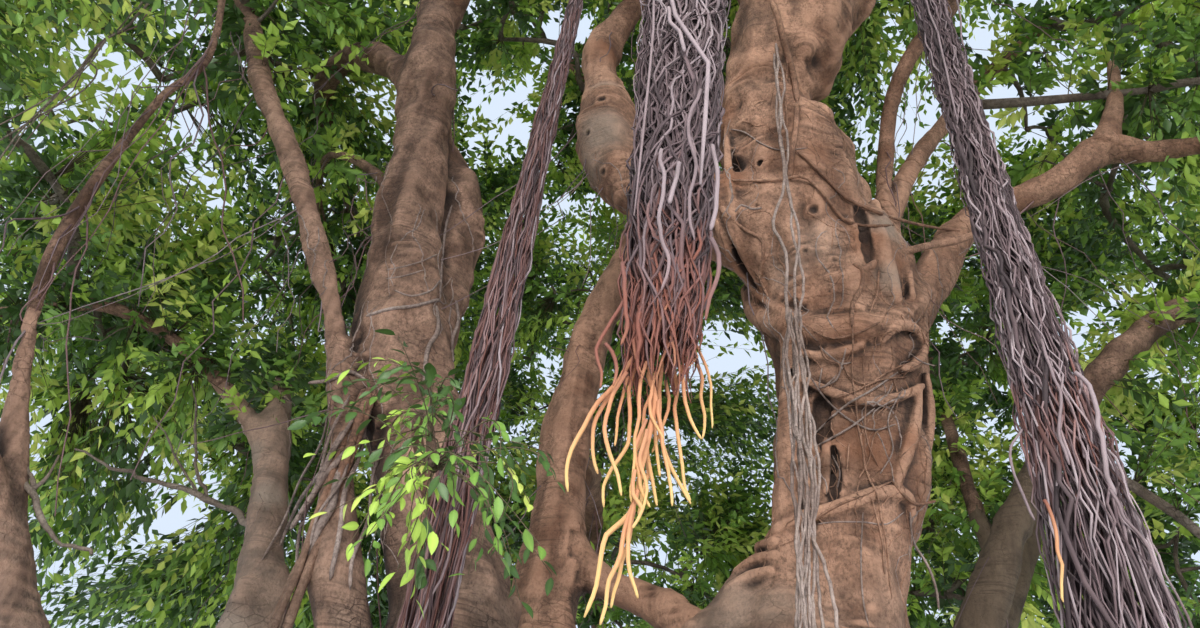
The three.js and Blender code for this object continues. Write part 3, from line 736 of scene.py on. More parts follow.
    def skin(self):
        """Surface nets. Each small cube that the surface crosses gets one point, the mean of the
        places where the surface crosses the cube's edges. Round each crossed edge the points of
        the four cubes that share it make one quad."""
        value = self.distance
        inside = value < 0
        cubes = np.array(value.shape) - 1
        owners, places, turned = [], [], []
        for axis in range(3):
            low = [slice(None)] * 3
            high = [slice(None)] * 3
            low[axis], high[axis] = slice(0, -1), slice(1, None)
            edge = np.stack(np.nonzero(inside[tuple(low)] != inside[tuple(high)]), axis=1)
            second = edge.copy()
            second[:, axis] += 1
            a, b = value[tuple(edge.T)], value[tuple(second.T)]
            place = edge.astype(float)
            place[:, axis] += a / (a - b)
            u, v = (axis + 1) % 3, (axis + 2) % 3
            ring = np.repeat(edge[:, None], 4, axis=1)
            ring[:, 1:3, u] -= 1
            ring[:, 2:4, v] -= 1
            owners.append((ring[..., 0] * cubes[1] + ring[..., 1]) * cubes[2] + ring[..., 2])
            places.append(place)
            turned.append(a < 0)
        owners, places = np.concatenate(owners), np.concatenate(places)
        turned = np.concatenate(turned)
        cube, quads = np.unique(owners, return_inverse=True)
        quads = quads.reshape(owners.shape)
        share = np.bincount(quads.ravel(), minlength=len(cube))
        sums = [np.bincount(quads.ravel(), np.repeat(places[:, k], 4), len(cube)) for k in range(3)]
        points = self.low + self.pitch * np.stack(sums, axis=1) / share[:, None]
        quads[~turned] = quads[~turned][:, ::-1]
        return points, quads

# %% [markdown]
# The skin of a thick stem has more faces than one piece may hold, so it is parted by height into
# pieces that share their rims exactly. Each rim gets a flat lid inside the wood, so every piece is
# closed. How deep a point lies in a fold is the distance from the point to the mean of the points
# round it, after a few rounds of averaging, measured along the way out of the bark.

# %% Parting and lids
def edges_of(quads):
    """Every side of every quad, as pairs of point numbers in the quad's own direction."""
    return np.concatenate([np.stack([quads[:, k], quads[:, (k + 1) % 4]], 1) for k in range(4)])


def lids(points, quads):
    """Fans that close the open rims: sides that no quad runs the other way. The sides of one rim
    are found by passing the lowest point number along it until nothing changes."""
    sides = edges_of(quads)
    size = len(points) + 1
    forward, back = sides[:, 0] * size + sides[:, 1], sides[:, 1] * size + sides[:, 0]
    rim = sides[~np.isin(forward, back)]
    if not len(rim):
        return points, np.zeros((0, 3), int)
    name = np.arange(len(points))
    while True:
        lowest = np.minimum(name[rim[:, 0]], name[rim[:, 1]])
        after = name.copy()
        np.minimum.at(after, rim[:, 0], lowest)
        np.minimum.at(after, rim[:, 1], lowest)
        if (after == name).all():
            break
        name = after
    rims, which = np.unique(name[rim[:, 0]], return_inverse=True)
    middles = np.stack([points[rim[which == k, 0]].mean(0) for k in range(len(rims))])
    fans = np.stack([rim[:, 1], rim[:, 0], len(points) + which], axis=1)
    return np.vstack([points, middles]), fans


def hollows(points, quads, full, rounds=7):
    """How deep each point lies in a fold: 0.5 on even bark, 1 at half of the full depth, 0 on
    ridges as high. Also the way out of the bark at each point."""
    sides = edges_of(quads)
    count = np.bincount(sides[:, 0], minlength=len(points)) + 1e-9
    soft = points.copy()
    for _ in range(rounds):
        sums = [np.bincount(sides[:, 0], soft[sides[:, 1], k], len(points)) for k in range(3)]
        soft = np.stack(sums, axis=1) / count[:, None]
    normal = np.cross(points[quads[:, 2]] - points[quads[:, 0]],
                      points[quads[:, 3]] - points[quads[:, 1]])
    out = np.stack([np.bincount(quads.ravel(), np.repeat(normal[:, k], 4), len(points))
                    for k in range(3)], axis=1)
    out = unit(out, 1e-12)
    depth = ((soft - points) * out).sum(1)
    return np.clip(0.5 + depth / full, 0, 1), out


def sunken(block, points, out, reaches=(0.05, 0.12, 0.26)):
    """How much wood stands round each point, 0 in the open and towards 1 in a crevice: a step
    straight out of even bark comes as far from the wood as the step is long, and a step out of a
    crevice doesn't."""
    shares = [np.clip(1 - block.at(points + reach * out) / reach, 0, 1) for reach in reaches]
    return sum(shares) / len(reaches)


def grown(low, high, step, limbs):
    """A block with limbs that are joined one after another. limbs is text: for each limb the
    spacing of its path's points, the blend, and how many metres of it the block holds, if not
    all."""
    block = Block(low, high, step)
    for name, (row,) in named(limbs).items():
        path = limb_path(name, row[0])
        block.limb(first_metres(path, row[2]) if len(row) > 2 else path, row[1])
    block.refine()
    return block


def wood(name, block, heights, finish, stands_for, marks=(), fold_depth=0.03):
    """Makes the pieces of one block: its skin with the numbers for folds and marks. A mark is a
    kind, a place, a radius, and how strong it is at its middle."""
    points, quads = block.skin()
    fold, out = hollows(points, quads, fold_depth)
    values = {kind: np.zeros(len(points)) for kind in ("stain", "cinnamon", "bleached")}
    values["deep"] = sunken(block, points, out)
    for kind, centre, radius, strength in marks:
        apart = np.linalg.norm((points - centre) / radius, axis=1)
        values[kind] = np.maximum(values[kind], strength * np.clip(1.5 * (1 - apart), 0, 1))
    level = np.searchsorted(heights, points[quads, 2].mean(1))  # each quad goes by its middle
    for k in range(len(heights) + 1):
        used, mine = np.unique(quads[level == k], return_inverse=True)
        mine = mine.reshape(-1, 4)
        own, fans = lids(points[used], mine)
        extra = np.zeros(len(own) - len(used))
        numbers = {key: np.concatenate([v[used], extra]) for key, v in values.items()}
        numbers["hollow"] = np.concatenate([fold[used], extra + 0.5])
        title = f"{name}_{k + 1}" if heights else name
        piece(title, own, [mine, fans], [finish], stands_for, values=numbers)

# %% [markdown]
# The bole is the fused foot of the tree, from the ground to the fork. It has a waist, buttresses
# that run out into the ground, and flutes between the stems. Its own distance is the distance from
# its axis less a radius that depends on angle and height, and the stems are joined to it.

# %% Bole
BOLE_CENTRE, FORK = (0.0, 0.15), 2.15
WAIST, CROWN, VALLEY, BUTTRESS, FLARE_HEIGHT = 1.27, 1.08, 1.50, 1.25, 0.56
RIDGES, RIDGE_WIDTH = 9, 0.2
PARTING = 3.05  # the height of the flat cut between the bole and the stems
STEP_BOLE, FOLDS_BOLE = 0.05, 0.11  # the block's small step, and the full depth of its folds


def bole_radius(angle, z):
    """A waist that narrows to the fork, plus a flare that dies away with height, plus nine
    buttresses, each a bell-shaped bump in the angle."""
    ridge = np.zeros_like(angle)
    for k in range(RIDGES):
        middle = TURN * (k + 0.22 * math.sin(5 * k + 1)) / RIDGES
        apart = np.arctan2(np.sin(angle - middle), np.cos(angle - middle))
        size = 0.78 + 0.22 * math.sin(3 * k + 2)
        ridge = np.maximum(ridge, size * np.exp(-((apart / RIDGE_WIDTH) ** 2)))
    share = np.clip(z / FORK, 0, 1)
    column = (1 - 0.35 * share**8) * (WAIST + (CROWN - WAIST) * share**3)
    flare = np.exp(-z / FLARE_HEIGHT)
    return column + 0.07 * (ridge - 0.5) * (1 - share) + flare * (VALLEY - WAIST + BUTTRESS * ridge)


def make_bole():
    low = -STEP_BOLE / 2  # so that the ground lies half way between two layers
    block = Block((-3.4, -2.9, low), (3.0, 3.2, PARTING + 0.2), STEP_BOLE)
    x, y, z = block.axes((0, 0, 0), block.distance.shape)
    x, y = x - BOLE_CENTRE[0], y - BOLE_CENTRE[1]
    from_axis, angle = np.hypot(x, y), np.arctan2(y, x)
    level = np.clip(z, 0, FORK) + 0 * from_axis
    side = (from_axis - bole_radius(angle + 0 * z, level)) * 0.8
    cap = z - FORK - 0.12 + 0.05 * from_axis**2
    block.distance = np.maximum(side, cap).astype(np.float32)
    block.thick[:] = 0.6
    block.fade = np.interp(z[0, 0], [2.2, 3.0], [1.0, 0.4]).astype(np.float32)
    for name in PATHS:
        if name not in BOUGHS + ["collar", "bulge"]:
            rows = PATHS[name][:2] if name == "stem_edge" else PATHS[name]
            block.limb(smooth_path(rows, 0.2), 0.22)
    block.fade = 1.0
    block.refine()
    block.emboss()
    block.close(0.0, PARTING + 0.03)
    stems = [name for name in PATHS if name.startswith("stem")]
    wood("wood_bole", block, [], BARK, ["trunk", *stems],
         fold_depth=FOLDS_BOLE)


make_bole()

# %% [markdown]
# ## The thick stem at the right
# The photograph shows it closest: a waist, then a swollen body with a collar of fused root round
# it, a root column down its left side with a dark hollow behind, ropes of root that have sunk into
# the bark, and knot holes with lips. What is thicker than a finger is joined to the field. Its
# place comes from pixels: the line of sight is followed until it meets the wood.

# %% Thick stem
STEP_RIGHT, TOP_RIGHT = 0.018, 7.55  # the block's small step, and the height of its upper cut
# Ropes of root sunk into the bark: radius in metres, then the pixels that they pass
ROPES = drawn("""
    .034 725,2 726,70 727,130 729,180 733,215;
    .04 918,388 914,425 905,455 896,484;
    .042 776,530 800,519 822,513 848,504 880,493 906,498 911,518;
    .058 868,178 874,205 880,240 888,272 896,300;
    .034 902,236 911,250 908,270 912,296;
    .036 802,352 822,357 842,352 862,345;
    .034 882,340 896,326 913,328 923,345 915,364 903,369;
    .036 926,376 929,410 925,450 915,484;
    .05 746,560 760,548 774,543;
    .042 738,572 756,562 775,556;
    .038 730,588 750,578 770,571;
    .034 716,222 730,254 750,283 778,312;
    .028 722,208 740,248 762,285 790,318;
    .024 730,212 748,252 772,292 800,322;
    .026 826,440 827,465 826,492;
    .032 800,378 830,392 862,402 896,398 922,386""")
# Knot holes: pixel, radius in metres
HOLES = table("""
    811,41,.02 803,67,.024 798,82,.012 851,20,.016 857,3,.014 754,119,.024 813,211,.038
    806,251,.022 835,260,.022 762,165,.024 757,207,.014 830,291,.012 602,101,.034 589,134,.03
    604,172,.026""")
# Long hollows: radius in metres, how deep they sink in shares of it, the pixels that they pass
HOLLOWS = drawn("""
    .07,.9 819,400 822,420 825,448;
    .042,.9 831,450 833,475 832,497;
    .024,.6 896,351 904,345 912,341;
    .042,.7 859,206 864,232 871,260;
    .022,.2 838,404 862,412 892,408;
    .022,.2 836,486 862,486 896,482;
    .05,.4 735,236 743,262 758,288;
    .034,.4 762,345 778,362 794,374""")
# Colours with a place: kind, pixel, radius in metres, strength. The dark kind marks real stains,
# and also paints the shade in the long hollows.
MARKS = named("""
    stain 765,14,.24,1 762,50,.22,.9 752,85,.18,.6 822,425,.17,1 832,470,.13,1 740,255,.12,.7
        780,360,.16,.7 850,425,.22,.55 866,470,.22,.5 880,410,.16,.5;
    cinnamon 745,60,.25,.6 726,60,.2,.9 727,120,.2,.9 729,180,.18,.9 826,470,.07,.9 866,240,.16,.9
        905,440,.14,.9 820,150,.16,.6 895,265,.12,.7 742,262,.22,.8 764,294,.18,.8 790,330,.2,.5
        850,330,.22,.45 760,550,.2,.4 860,440,.3,.9 800,300,.2,.4;
    bleached 882,230,.17,.9 874,190,.14,.9 890,280,.14,.8 600,130,.3,.8 590,165,.24,.7
        820,240,.22,.35 790,270,.2,.35 730,610,.3,.5 770,600,.2,.4""")


def rope(block, radius, pixels, sink=0.35, spacing=0.03):
    """A root that runs over the bark through pixels, sunk in by a share of its radius. Thinner at
    its ends."""
    found = [hit for hit in (block.seen(*pixel) for pixel in pixels) if hit]
    if len(found) < 2:
        return None
    middles = np.array([spot + way * radius * (0.4 - sink) for spot, way in found])
    thick = np.full(len(middles), radius)
    thick[[0, -1]] *= 0.7
    return smooth_path(np.column_stack([middles, thick]), spacing)


# Boughs that leave the thick stem, text to be added to a list of limbs: spacing, blend, and the
# metres of each that a block holds
CROTCH = """; bough_sawn .12,.13,3.6; bough_elbow .12,.13,2.3; bough_fork .12,.13,1.9;
    bough_pale .12,.13,1.9; bough_up_back .12,.13,1.2; bough_up_front .12,.13,1.1;
    bough_up_centre .12,.13,1.0; bough_front .12,.13,.8; bough_front_right .12,.13,.8"""


def make_stem_right():
    block = grown((-1.08, -1.75, PARTING - 0.1), (2.78, 0.95, 8.6), STEP_RIGHT,
                  "stem_right .12,.1; shoulder .12,.16" + CROTCH
                  + "; column .1,.035; foot .1,.06; collar .08,.03")
    ropes = [rope(block, *row) for row in ROPES]
    cuts = [rope(block, radius, pixels, sink) for radius, sink, pixels in HOLLOWS]
    holes = [(block.seen(px, py), radius) for px, py, radius in HOLES]
    marks = block.marks(MARKS)
    block.emboss()
    for path in cuts:
        if path is not None:
            block.carve(block.limb, path, 0.02)
    for path in ropes:
        if path is not None:
            block.limb(path, 0.018)
    for hit, radius in holes:
        if hit:
            spot, way = hit
            block.sphere(spot - way * 0.35 * radius, 1.4 * radius, 0.04)
            block.carve(block.sphere, spot + way * 0.9 * radius, radius, 0.012)
            # painted shade in the knot hole, with the colour of stains
            marks.append(("stain", spot, 1.5 * radius, 1.0))
    block.close(PARTING, TOP_RIGHT)
    print("ropes on the bark:", sum(path is not None for path in ropes), "marks:", len(marks))
    wood("wood_stem_right", block, [4.35, 5.5, 6.6], BARK, ["stem_right"], marks=marks)
    return block


RIGHT_WOOD = make_stem_right()

# %% [markdown]
# Over this bark run thin roots, some as thin as string: a loose net at the waist, bundles that
# cross under the collar, and strands that hang in front. Sunk ropes would be too thick for them,
# so they are tubes. Those that the photograph shows follow its pixels, and lie on the bark where
# the line of sight meets it. The rest creep over the wood on all its sides: each step goes on in
# a seeded direction, is turned into the bark's plane, and is set back onto the bark.

# %% Thin roots over the bark
# Radius in metres, how far the root hangs off the bark, and the pixels that it passes
OVER_RIGHT = drawn("""
    .028,.05 771,0 777,15 783,39 789,60 795,84 797,102;
    .023,.05 797,102 796,126 792,150 790,180;
    .008,.05 775,54 777,78 780,102 778,126 783,150 787,176;
    .007,.05 786,45 787,72 785,90 787,126 784,156;
    .008,.02 729,48 738,52 745,57 751,60;
    .007,.02 747,3 745,12 735,24 732,36 735,45;
    .006,.01 729,129 744,132 762,144 780,150 807,148;
    .012,.03 729,180 750,181 777,180 804,177 816,186 831,204 843,219 858,225 876,226 894,225;
    .013,.03 795,150 810,162 828,180 846,198 864,207 888,216 912,223 936,228 960,231;
    .013,0 735,222 747,231 762,240 763,255 760,276 768,297;
    .016,0 853,264 862,270 861,288 853,303 852,327;
    .007,.01 879,270 877,294 870,312;
    .008,0 735,212 741,205 752,209 762,208;
    .006,0 748,160 757,172 752,190 741,196;
    .007,.02 898,372 872,390 846,405 814,434;
    .007,.02 875,408 852,426 817,446;
    .006,.02 852,316 853,345 852,374 856,402 858,426 863,449 866,472 878,495 881,518 887,541
        889,570 892,599;
    .005,.02 866,339 863,368 866,397 865,426 869,446 878,466;
    .005,.01 892,376 898,397 892,420 875,434 869,460 858,480;
    .007,.03 820,345 826,359 840,365 837,376 829,388;
    .006,.03 819,346 830,356 842,364 852,362;
    .006,.03 846,348 842,364 836,380 820,388;
    .006,.03 822,368 820,388 832,380 844,366;
    .005,.01 832,455 840,472 837,489;
    .005,.01 849,443 847,472;
    .009,0 777,547 800,535 817,518 840,504 863,495 892,481;
    .005,0 817,524 835,522 863,522 887,524 904,512;
    .01,0 892,481 904,495 915,504 936,501;
    .008,.01 910,512 913,541 927,564 936,588 939,611;
    .005,0 863,512 861,556 863,599 869,628;
    .005,0 832,524 830,556 826,588 822,616;
    .007,.02 842,360 850,378 866,384 888,372 905,364;
    .006,.02 838,398 858,390 880,380 908,377;
    .006,.02 810,376 825,398 850,420 874,430 896,424;
    .005,.02 902,390 888,420 893,450 880,474;
    .006,.02 871,496 876,515 882,540 885,575;
    .008,0 812,330 830,338 855,334 880,322;
    .006,0 905,362 918,355 926,340 930,320;
    .006,0 908,352 922,362 935,366""")
OVER_LEFT = drawn("""
    .012,0 366,316 390,309 415,306 440,299;
    .016,0 436,305 438,330 428,348 424,385;
    .006,0 386,270 402,267 420,262 438,254;
    .006,0 386,279 404,276 424,270;
    .007,0 394,290 410,296 432,290 440,280;
    .013,.02 456,300 458,322 452,340 453,362;
    .01,.01 452,205 446,225 443,250 441,275 440,300;
    .02,.02 345,430 332,452 322,478 308,505 300,520;
    .017,.04 368,422 352,445 330,470 312,496 290,530;
    .022,.02 352,430 348,455 337,480 332,505 318,530 308,560;
    .012,.01 308,383 330,380 350,372 366,380;
    .012,.06 362,405 340,440 322,470 300,500 280,545;
    .01,.08 350,395 330,435 318,480 300,530 296,575;
    .014,.05 366,428 358,460 345,490 340,530 330,580;
    .008,.07 372,410 352,450 342,480 318,515 310,545 300,590;
    .008,.09 330,400 322,440 300,480 284,520 262,560;
    .011,.04 385,440 372,480 368,520 352,560 350,590""")
# Dead or leafless branches in view: radii at both ends, depth and pixels
BARE_EDGE = drawn("""
    .02,.007,-.65 8,474 22,480 36,492 47,523 64,547 97,551;
    .01,.004,-.66 34,489 45,480 52,470 60,455;
    .012,.004,-.66 34,489 28,470 22,450 14,436""")
BARE_GREY = drawn("""
    .024,.007,.82 262,528 225,508 189,489 163,484 129,471 103,463 77,448;
    .014,.005,.8 205,500 198,470 194,440 196,405 193,380;
    .01,.004,.84 198,495 175,455 160,425 148,408""")
BARE_RIGHT = drawn("""
    .036,.02,-.6 846,279 862,271 883,259 903,252 926,246 950,242 980,232 1010,224""")
BARE_TOP = drawn("""
    .009,.003,-1.6 165,-30 150,0 128,26 100,42 78,70 52,98 20,130 -10,172;
    .007,.003,-1.63 158,-30 141,2 120,30 96,52 70,82 40,112 8,160;
    .005,.002,-1.66 126,27 104,40 92,60 60,90 28,110 -5,128;
    .005,.002,-1.57 98,44 88,60 97,70 80,92 52,108 0,140""")


RINGS_THIN, STRIDE = 22, 0.042  # points of a thin root, and the metres of a creeping step
STRING, BARKED = (0.0025, 0.0065), 0.0105  # radii of creeping roots, and of those that are barked


def over_bark(block, radius, lift, pixels, rings):
    """A root that passes pixels of the photograph. At evenly spaced pixels on the way the line of
    sight is followed to the bark. The root lies there, and where it hangs off the bark it keeps
    in front of the wood by the lift. Past the wood's edge it keeps its distance from the eye."""
    rows = [(px, py, 0, 1) for px, py in pixels]
    spots = evenly(smooth_path(rows, 5), rings)[:, :2]
    found = [block.seen(*spot) for spot in spots]
    away = np.array([np.linalg.norm(hit[0] - EYE) if hit else np.nan for hit in found])
    known = ~np.isnan(away)
    if known.sum() < 4:
        return None
    number = np.arange(rings)
    away = np.interp(number, number[known], away[known])
    level = np.array([away[max(0, k - 2) : k + 3].mean() for k in number])
    away = np.minimum(away, level + 0.01) - lift * np.sin(math.pi * number / (rings - 1)) ** 0.5
    ways = np.array([sight(*spot) for spot in spots])
    return EYE + (away - 0.3 * radius)[:, None] * ways


def creep(block, start, rng, rings, sag=0.5, wild=0.45):
    """Roots that creep over the wood from their starts, all at once. Each step keeps on, sinks by
    the sag and turns by a seeded amount, goes in the plane of the bark, and ends on the bark."""
    spot, way = start.copy(), rng.normal(size=start.shape) * [1, 1, 0.4] - [0, 0, 0.7]
    path = []
    for _ in range(rings):
        for _ in range(2):
            spot = spot - block.out(spot) * np.clip(block.at(spot), -0.05, 0.05)[:, None]
        face = block.out(spot)
        path.append(spot)
        way = way + rng.normal(0, wild, way.shape) - [0, 0, sag]
        way = unit(way - (way * face).sum(1)[:, None] * face, 1e-9)
        spot = spot + STRIDE * way
    return np.stack(path, axis=1)


def thin_roots(name, block, listed, count, seed, z_range, stands_for, thicker=BARK):
    """One piece of thin roots: those of the list, and a number of creeping ones that start on the
    skin of the block between two heights."""
    rng = np.random.default_rng(seed)
    rings, sides = RINGS_THIN, 5
    made = [(over_bark(block, radius, lift, pixels, rings), radius)
            for radius, lift, pixels in listed]
    made = [row for row in made if row[0] is not None]
    skin = np.stack(np.nonzero(np.abs(block.distance) < 0.6 * block.step), axis=1)
    skin = block.low + block.pitch * skin
    skin = skin[(skin[:, 2] > z_range[0]) & (skin[:, 2] < z_range[1])]
    start = skin[rng.choice(len(skin), count)]
    crept = creep(block, start, rng, rings)
    radius = np.concatenate([[row[1] for row in made], rng.uniform(*STRING, count)])
    paths = np.concatenate([[row[0] for row in made], crept])
    slim = 0.55 + 0.45 * np.sin(math.pi * np.linspace(0.08, 0.92, rings)) ** 0.4
    slim[[0, -1]] = 0.3
    points, faces = tubes(paths, radius[:, None] * slim, sides)
    rng.uniform(size=2 * count)  # so that the next draw stays the same
    barked = ((radius > BARKED) | (rng.uniform(size=len(radius)) < 0.6)).astype(int)
    finish_of = [np.repeat(barked, (rings - 1) * sides)] + 2 * [np.repeat(barked, sides - 2)]
    piece(name, points, faces, [STRAND, thicker], stands_for,
          np.concatenate(finish_of), {"hollow": 0.5})


thin_roots("thin_roots_right", RIGHT_WOOD, OVER_RIGHT, 190, 61, (4.1, 7.4), ["stem_right"])

# %% [markdown]
# The other stems are made in the same way, with larger steps, since they stand further off. The
# left stem has a second bulge at its back and a slim stem that leaves it low. The back stem has a
# bridge of root to the thick stem.

# %% Other stems
def make_stems():
    left = grown((-3.75, -1.15, PARTING - 0.1), (-0.5, 1.75, 9.0), 0.024,
                 """stem_left .15,.08; bulge .12,.05; stem_slim .12,.06; stem_grey .15,.08;
                 bough_left_knuckle .12,.09,1.1; bough_left_pale .12,.09,1.1;
                 bough_front_left .12,.09,1.1; bough_low_left .12,.09,1.1""")
    left.emboss(strength=1.3)
    left.close(PARTING, 8.95)
    grey = [spot for spot in limb_path("stem_grey", 0.16)[:, :3] if spot[2] > 3.1]
    patches = []
    for k, spot in enumerate(grey):
        to_side = [np.array([math.sin(turn), math.cos(turn), 0]) for turn in (4 * k, 3 * k)]
        patches += [("bleached", spot + 0.13 * to_side[0], 0.2, 0.5 + k % 2 * 0.5),
                    ("stain", spot - 0.14 * to_side[1], 0.17, 0.45), ("bleached", spot, 0.5, 0.45)]
    wood("wood_stems_left", left, [4.6], BARK_IN_SHADE, ["stem_left", "stem_slim", "stem_grey"],
         marks=patches, fold_depth=0.06)
    thin_roots("thin_roots_left", left, OVER_LEFT, 60, 62, (4.1, 7.0), ["stem_left"], STRAND)

    for name, low, high, step, limbs, cuts, finish in [
            ("stem_back", (-1.35, -0.1, PARTING - 0.1), (0.95, 1.9, 8.9), 0.024,
             """stem_back .15,.08; bridge .12,.12; bough_back_low .12,.09,.9;
             bough_back_rise .12,.09,.9""", (PARTING, 8.8), BARK),
            ("stem_far", (1.0, 0.0, PARTING - 0.1), (4.5, 3.4, 6.9), 0.03,
             "stem_far .15,.1; bough_low_right .12,.12,3.2; bough_far_rise .12,.1,1.2",
             (PARTING, 6.85), BARK_SHADE),
            ("stem_edge", (-4.0, -1.7, 2.2), (-1.6, 0.3, 4.6), 0.017,
             "stem_edge .12,.05; bough_left_front .12,.05,.8", (2.3, 4.5), BARK_IN_SHADE)]:
        block = grown(low, high, step, limbs)
        block.emboss()
        block.close(*cuts)
        wood(f"wood_{name}", block, [], finish, [name])


make_stems()

# %% [markdown]
# ## Boughs
# Past the crotches each bough is a plain tapering limb that bends, so a profile carried along its
# path is enough: a ring at each point, turned across the path. The same relief moves every point
# of the ring in or out. A bough thins where it starts inside the wood, so that its skin comes out
# from under the bark of the stem, and it runs on to the middle of the leaf mass that it carries.

# %% Boughs
# How many metres of a bough, from its start, are already in a block of wood
IN_BLOCK = {"bough_elbow": 2.3, "bough_fork": 1.9, "bough_pale": 1.9, "bough_up_back": 1.2,
            "bough_up_front": 1.1, "bough_up_centre": 1.0, "bough_front": 0.8,
            "bough_front_right": 0.8, "bough_left_knuckle": 1.1, "bough_left_pale": 1.1,
            "bough_left_front": 0.7, "bough_front_left": 0.2, "bough_low_left": 1.1,
            "bough_back_low": 0.9, "bough_back_rise": 0.9, "bough_low_right": 3.2,
            "bough_far_rise": 1.2, "bough_sawn": 3.3}
# Boughs whose bark has painted shade
BOUGHS_IN_SHADE = ["bough_low_right", "bough_low_left", "bough_left_pale", "bough_left_knuckle",
       "bough_far_rise"]
# The upper part of each stem starts where it first passes a level, across (1) or upwards (2)
STEM_TOPS = {"stem_left": (2, 8.7, BARK_IN_SHADE), "stem_slim": (2, 7.3, BARK_IN_SHADE),
             "stem_grey": (1, 1.34, BARK_GREY), "stem_edge": (2, 4.3, BARK_IN_SHADE),
             "stem_back": (2, 8.5, BARK), "stem_far": (1, 2.6, BARK_SHADE)}


def limb_tube(name, path, finish, ending="", sides=18):
    """One limb with relief."""
    rings, faces = tubes(path[None, :, :3], path[None, :, 3], sides)
    points = rings.reshape(-1, 3)
    middle = np.repeat(path[:, :3], sides, axis=0)
    out = unit(points - middle)
    points = points + out * relief(middle + out * 0.1, np.repeat(path[:, 3], sides))[:, None]
    piece(f"wood_{name}{ending}", points, faces, [finish], [name], values={"hollow": 0.5})


def add_boughs():
    """Every bough past its block, one piece each, and the upper part of each stem. The foot of a
    bough is spread a little where it leaves a thinner limb."""
    for name in BOUGHS:
        path = limb_path(name, 0.05)
        if name in IN_BLOCK:
            path = last_metres(path, IN_BLOCK[name])
        else:
            path[:, 3] *= 1 + 0.45 * np.exp(-lengths(path) / 0.16)
        limb_tube(name, path, BARK_IN_SHADE if name in BOUGHS_IN_SHADE else BARK)
    for name, (axis, level, finish) in STEM_TOPS.items():
        path = limb_path(name, 0.05)
        path = path[np.argmax(path[:, axis] > level) :]
        path[:6, 3] *= np.linspace(0.86, 1, 6)
        limb_tube(name, path, finish, "_top")


add_boughs()

# %% [markdown]
# ## Hanging roots
# A curtain is a bundle of some hundred single roots, each as thick as a pencil, that hang plumb
# from a bough, kink at every few centimetres, cross each other and stick together. Old roots are
# grey to purple, the growing ends are red, then orange and yellow. One solid with a bumpy skin
# would look like a rope, so each root is a tube of its own on a path of its own. The path turns
# slowly round the bundle's middle and has small kinks. How young a root is at each point is a
# number on the piece, and its finish turns that into colour.

# %% Hanging roots
def wander(height, seed, count, wavelength, waves=3):
    """A smooth seeded number of about -1 to 1 for each root at each height: a sum of sine waves
    in height, whose lengths lie round the one given."""
    rng = np.random.default_rng(seed)
    rate = TURN / wavelength * rng.uniform(0.6, 1.7, (waves, count, 1))
    phase = rng.uniform(0, TURN, (waves, count, 1))
    return np.sin(rate * height + phase).sum(0) * math.sqrt(2 / waves) * 0.7


def kinks(height, seed, count, spacing):
    """The same, but with corners: straight runs between seeded numbers at every spacing."""
    rng = np.random.default_rng(seed)
    knots = rng.uniform(-1, 1, (count, int(12 / spacing) + 2))
    spot = (height + rng.uniform(0, spacing, (count, 1))) / spacing
    first = spot.astype(int)
    share = spot - first
    one = np.take_along_axis(knots, first, 1)
    return one + (np.take_along_axis(knots, first + 1, 1) - one) * share


def between(at, rows):
    """Straight runs between the pairs of a table written as text."""
    return np.interp(at, *table(rows).T)


def curtain(name, plumb, profile, count, seed, thick, levels, ends, young, kink, twist=(0.5, 0.9),
            outer=0.35, sides=4, shade="0,1", power=0.8):
    """Roots round a plumb line. profile gives the bundle's radius by height. levels gives heights
    and the distance between rings from each one down to the next. ends gives, for shares of the
    roots, the height at which they end. young gives how young roots are by height. twist is how
    far a root turns round the middle and over what length. Inner roots are darker than outer ones,
    as painted shade inside the bundle; shade says how pale all of them are by height; and a high
    power makes the pale ones few."""
    rng = np.random.default_rng(seed)
    end = between(rng.uniform(0, 1, count), ends)
    levels = table(levels)
    grid = [np.arange(top, low, -step) for (top, step), (low, _) in zip(levels[:-1], levels[1:])]
    grid = np.concatenate(grid + [levels[-1, :1]])
    along = (grid[0] - grid) / (grid[0] - grid[-1])
    start = table(profile)[-1, 0] - rng.uniform(0, 0.25, count)
    z = start[:, None] + (end - start)[:, None] * along[None]
    bundle = between(z, profile)
    from_axis = np.sqrt(rng.uniform(outer, 1, (count, 1)))
    share = np.clip(from_axis + 0.14 * wander(z, seed + 1, count, 0.9), -1.05, 1.05)
    angle = rng.uniform(0, TURN, (count, 1)) + twist[0] * wander(z, seed + 2, count, twist[1])
    size, spacing = kink
    x = plumb[0] + bundle * share * np.cos(angle) + size * kinks(z, seed + 3, count, spacing)
    y = plumb[1] + bundle * share * np.sin(angle) + size * kinks(z, seed + 4, count, spacing)
    girth = thick * rng.uniform(0.6, 1.3, (count, 1))
    girth = girth * np.where(rng.uniform(size=(count, 1)) < 0.07, 2, 1)
    radius = girth * (1 + 0.15 * kinks(z, seed + 5, count, 0.12))
    radius *= np.clip(0.35 + (z - end[:, None]) / 0.12, 0.35, 1)
    points, faces = tubes(np.stack([x, y, z], axis=2), radius, sides)
    # painted shade: roots near the bundle's middle are darker
    pale = rng.uniform(0, 1, (count, 1)) ** power * np.clip((from_axis - 0.55) / 0.35, 0.12, 1)
    tone = np.clip(pale + 0.15 * wander(z, seed + 6, count, 0.8), 0, 1) * between(z, shade)
    age = between(z + 0.12 * wander(z, seed + 7, count, 3.0), young)
    age = np.clip(age * rng.uniform(0.35, 1.25, (count, 1)), 0, 1)
    values = {"tone": np.repeat(tone.ravel(), sides), "young": np.repeat(age.ravel(), sides)}
    piece(name, points, faces, [ROOT], [name], values=values)


def in_front(depth, pixels):
    """Places on the lines of sight through pixels, where these meet the upright plane y = depth."""
    ways = np.array([sight(px, py) for px, py in pixels])
    return EYE + ways * ((depth - EYE[1]) / ways[:, 1])[:, None]


